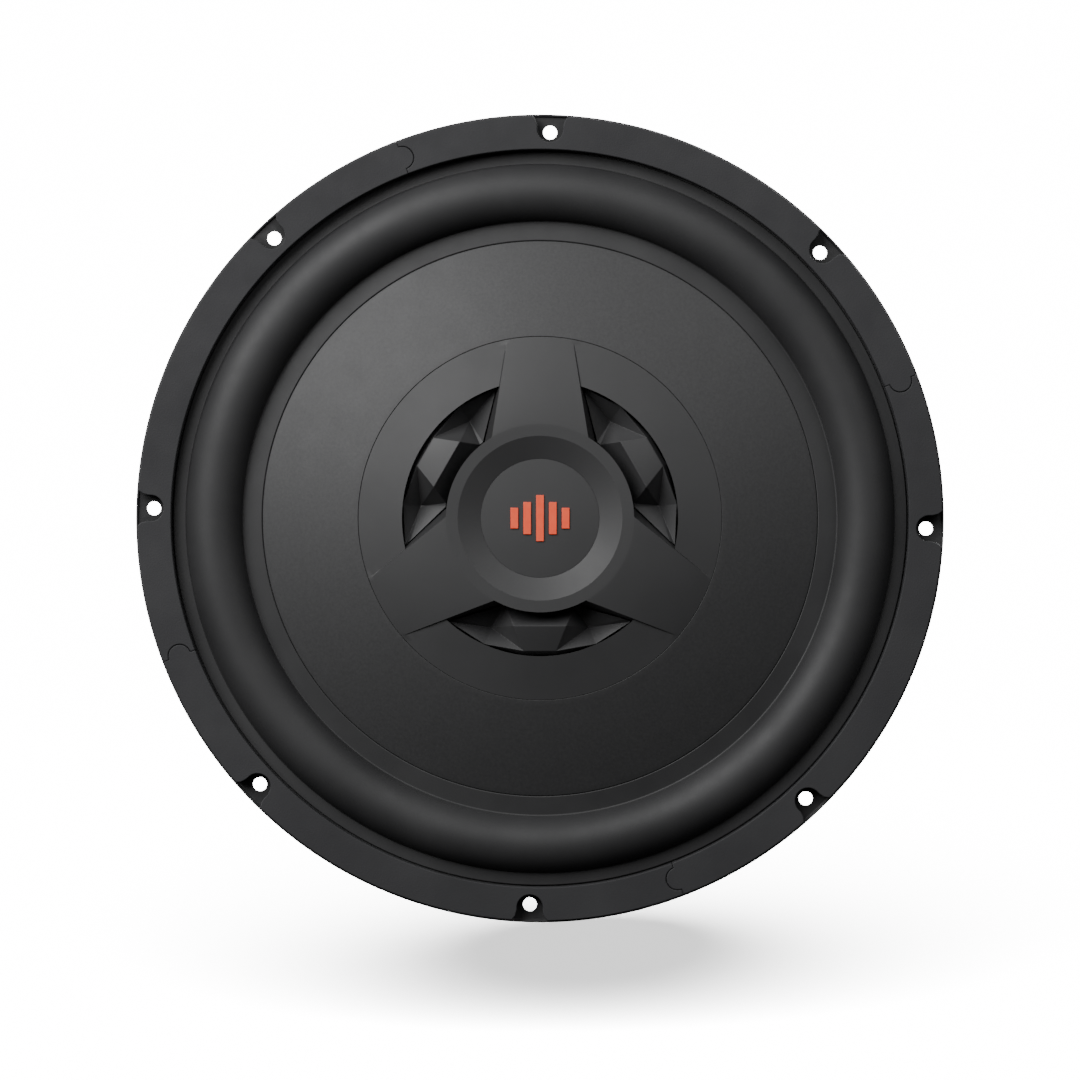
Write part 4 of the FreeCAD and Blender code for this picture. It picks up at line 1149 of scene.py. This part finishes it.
block_piece = refined("terminal_block", 0.45, segments=3)
finish_piece(block_piece, plastic, "terminal_plastic", "frame", "terminal_block")
finish_piece(polarity_marks(), plastic, "terminal_plastic", "frame")
finish_piece(rivets(), zinc, "zinc_steel", "frame", "terminal_rivets")
caps = {"positive": (1, cap_plastic("red_cap", (0.55, 0.02, 0.02)), "red_cap"),
        "negative": (-1, cap_plastic("black_cap", (0.02, 0.02, 0.02)), "black_cap")}
for word, (side, cap_finish, cap_slot) in caps.items():
    finish_piece(push_cap(f"fluted_cap_{word}", side), cap_finish, cap_slot, f"{word}_cap", f"push_cap_{word}")
    finish_piece(refined(f"contact_{word}", 0.15), brass, "gilt_brass", "frame", f"contact_{word}")
    coil = spring(f"cap_spring_{word}", f"spring_{word}")
    coil.data.materials.append(coil_steel)
    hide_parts(f"spring_{word}")
    finish_piece(solder_joint(f"solder_joint_{word}", side), tin, "zinc_steel", "frame")
    lead, route = tinsel_lead(f"braided_lead_{word}", side)
    lead.data.materials.append(lead_braid)
    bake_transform(lead)
    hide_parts(f"tinsel_lead_{word}")

# ---------------------------------------------------------------- studio

VIEW_DISTANCE = 2.0
VIEW_WIDTH = 0.4255
AIM_DROP = -0.0085
FLOOR_LEVEL = -0.212
FLOOR_SIZE = 14
FLOOR_SOLID = 2.4
FLOOR_EDGE = 4.5
WHITE = 16.0
AMBIENT = 0.022
FLOOR_GLOW = 1.3
KEY_POWER = 26
FILL_POWER = 5.5
REAR_POWER = 60
REAR_FILL_POWER = 22
FLOOR_SUN = 170
FLOOR_SUN_SPREAD = 19


def light(name, turn, off_axis, distance, size, power):
    """A round soft light that looks at the origin, placed by its azimuth and its angle off the axis."""
    lamp = bpy.data.lights.new(name, "AREA")
    lamp.shape = "DISK"
    lamp.size = size
    lamp.energy = power
    return hung(lamp, turn, off_axis, distance)


def hung(lamp, turn, off_axis, distance):
    """Put a lamp at an azimuth and an angle off the speaker's axis, and point it at the origin."""
    holder = bpy.data.objects.new(lamp.name, lamp)
    bpy.context.collection.objects.link(holder)
    tilt = math.radians(off_axis)
    across, _, up = polar(math.sin(tilt) * distance, turn)
    holder.location = (across, -math.cos(tilt) * distance, up)
    holder.rotation_euler = (-holder.location).to_track_quat("-Z", "Y").to_euler()
    return holder


def floor_sun():
    """A low soft sun for the floor alone, which lays the speaker's long pale shadow."""
    lamp = bpy.data.lights.new("floor_sun", "SUN")
    lamp.energy = FLOOR_SUN
    lamp.angle = math.radians(FLOOR_SUN_SPREAD)
    return hung(lamp, turn=352, off_axis=18, distance=3.0)


def backdrop():
    """A white surround for the eye, and only a dim one for the light it gives."""
    world = bpy.data.worlds.new("studio_world")
    bpy.context.scene.world = world
    world.use_nodes = True
    tree = world.node_tree
    seen = tree.nodes["Background"]
    seen.inputs["Color"].default_value = (1, 1, 1, 1)
    seen.inputs["Strength"].default_value = WHITE
    given = tree.nodes.new("ShaderNodeBackground")
    given.inputs["Color"].default_value = (1, 1, 1, 1)
    given.inputs["Strength"].default_value = AMBIENT
    ray, mix = tree.nodes.new("ShaderNodeLightPath"), tree.nodes.new("ShaderNodeMixShader")
    tree.links.new(ray.outputs["Is Camera Ray"], mix.inputs["Fac"])
    tree.links.new(given.outputs[0], mix.inputs[1])
    tree.links.new(seen.outputs[0], mix.inputs[2])
    tree.links.new(mix.outputs[0], tree.nodes["World Output"].inputs["Surface"])


def floor_finish():
    """Matt white paint that fades out far from the speaker and that a view from below goes through."""
    finish = Finish("studio_floor", (0.9, 0.9, 0.9), 0.9, specular=0.0)
    finish.tint(finish.noise(0.6, 2), (0.895, 0.895, 0.895), (0.905, 0.905, 0.905))
    distance = finish.add("VectorMath", {"operation": "LENGTH"}, Vector=finish.place).outputs["Value"]
    from_above = finish.math("SUBTRACT", 1.0, finish.add("NewGeometry").outputs["Backfacing"])
    alpha = finish.math("MULTIPLY", finish.ramp(distance, 1, 0, FLOOR_SOLID, FLOOR_EDGE), from_above)
    finish.tree.links.new(alpha, finish.surface.inputs["Alpha"])
    finish.surface.inputs["Emission Color"].default_value = (1, 1, 1, 1)
    finish.surface.inputs["Emission Strength"].default_value = FLOOR_GLOW
    return finish.material


def studio():
    backdrop()
    bpy.ops.object.select_all(action="DESELECT")
    bpy.ops.mesh.primitive_plane_add(size=FLOOR_SIZE, location=(0, 0, FLOOR_LEVEL))
    floor = bpy.context.object
    floor.name = "studio_floor"
    bpy.ops.object.transform_apply(location=True)
    floor.data.materials.append(floor_finish())
    floor.visible_diffuse = False
    floor.visible_glossy = False
    lamps = [light("key_light", turn=315, off_axis=47, distance=1.3, size=1.1, power=KEY_POWER),
             light("fill_light", turn=40, off_axis=47, distance=1.3, size=0.9, power=FILL_POWER),
             light("rear_key", turn=40, off_axis=128, distance=1.4, size=1.0, power=REAR_POWER),
             light("rear_fill", turn=285, off_axis=125, distance=1.4, size=1.2, power=REAR_FILL_POWER)]
    all_but_floor = bpy.data.collections.new("all_but_floor")
    all_but_floor.objects.link(floor)
    all_but_floor.collection_objects[0].light_linking.link_state = "EXCLUDE"
    for lamp in lamps:
        lamp.light_linking.receiver_collection = all_but_floor
    floor_only = bpy.data.collections.new("floor_only")
    floor_only.objects.link(floor)
    floor_sun().light_linking.receiver_collection = floor_only
    camera = bpy.data.cameras.new("camera")
    camera.sensor_width = 36
    camera.lens = camera.sensor_width * VIEW_DISTANCE / VIEW_WIDTH
    stand = bpy.data.objects.new("camera", camera)
    bpy.context.collection.objects.link(stand)
    stand.location = (0, -VIEW_DISTANCE, AIM_DROP)
    stand.rotation_euler = (math.pi / 2, 0, 0)
    bpy.context.scene.camera = stand


studio()
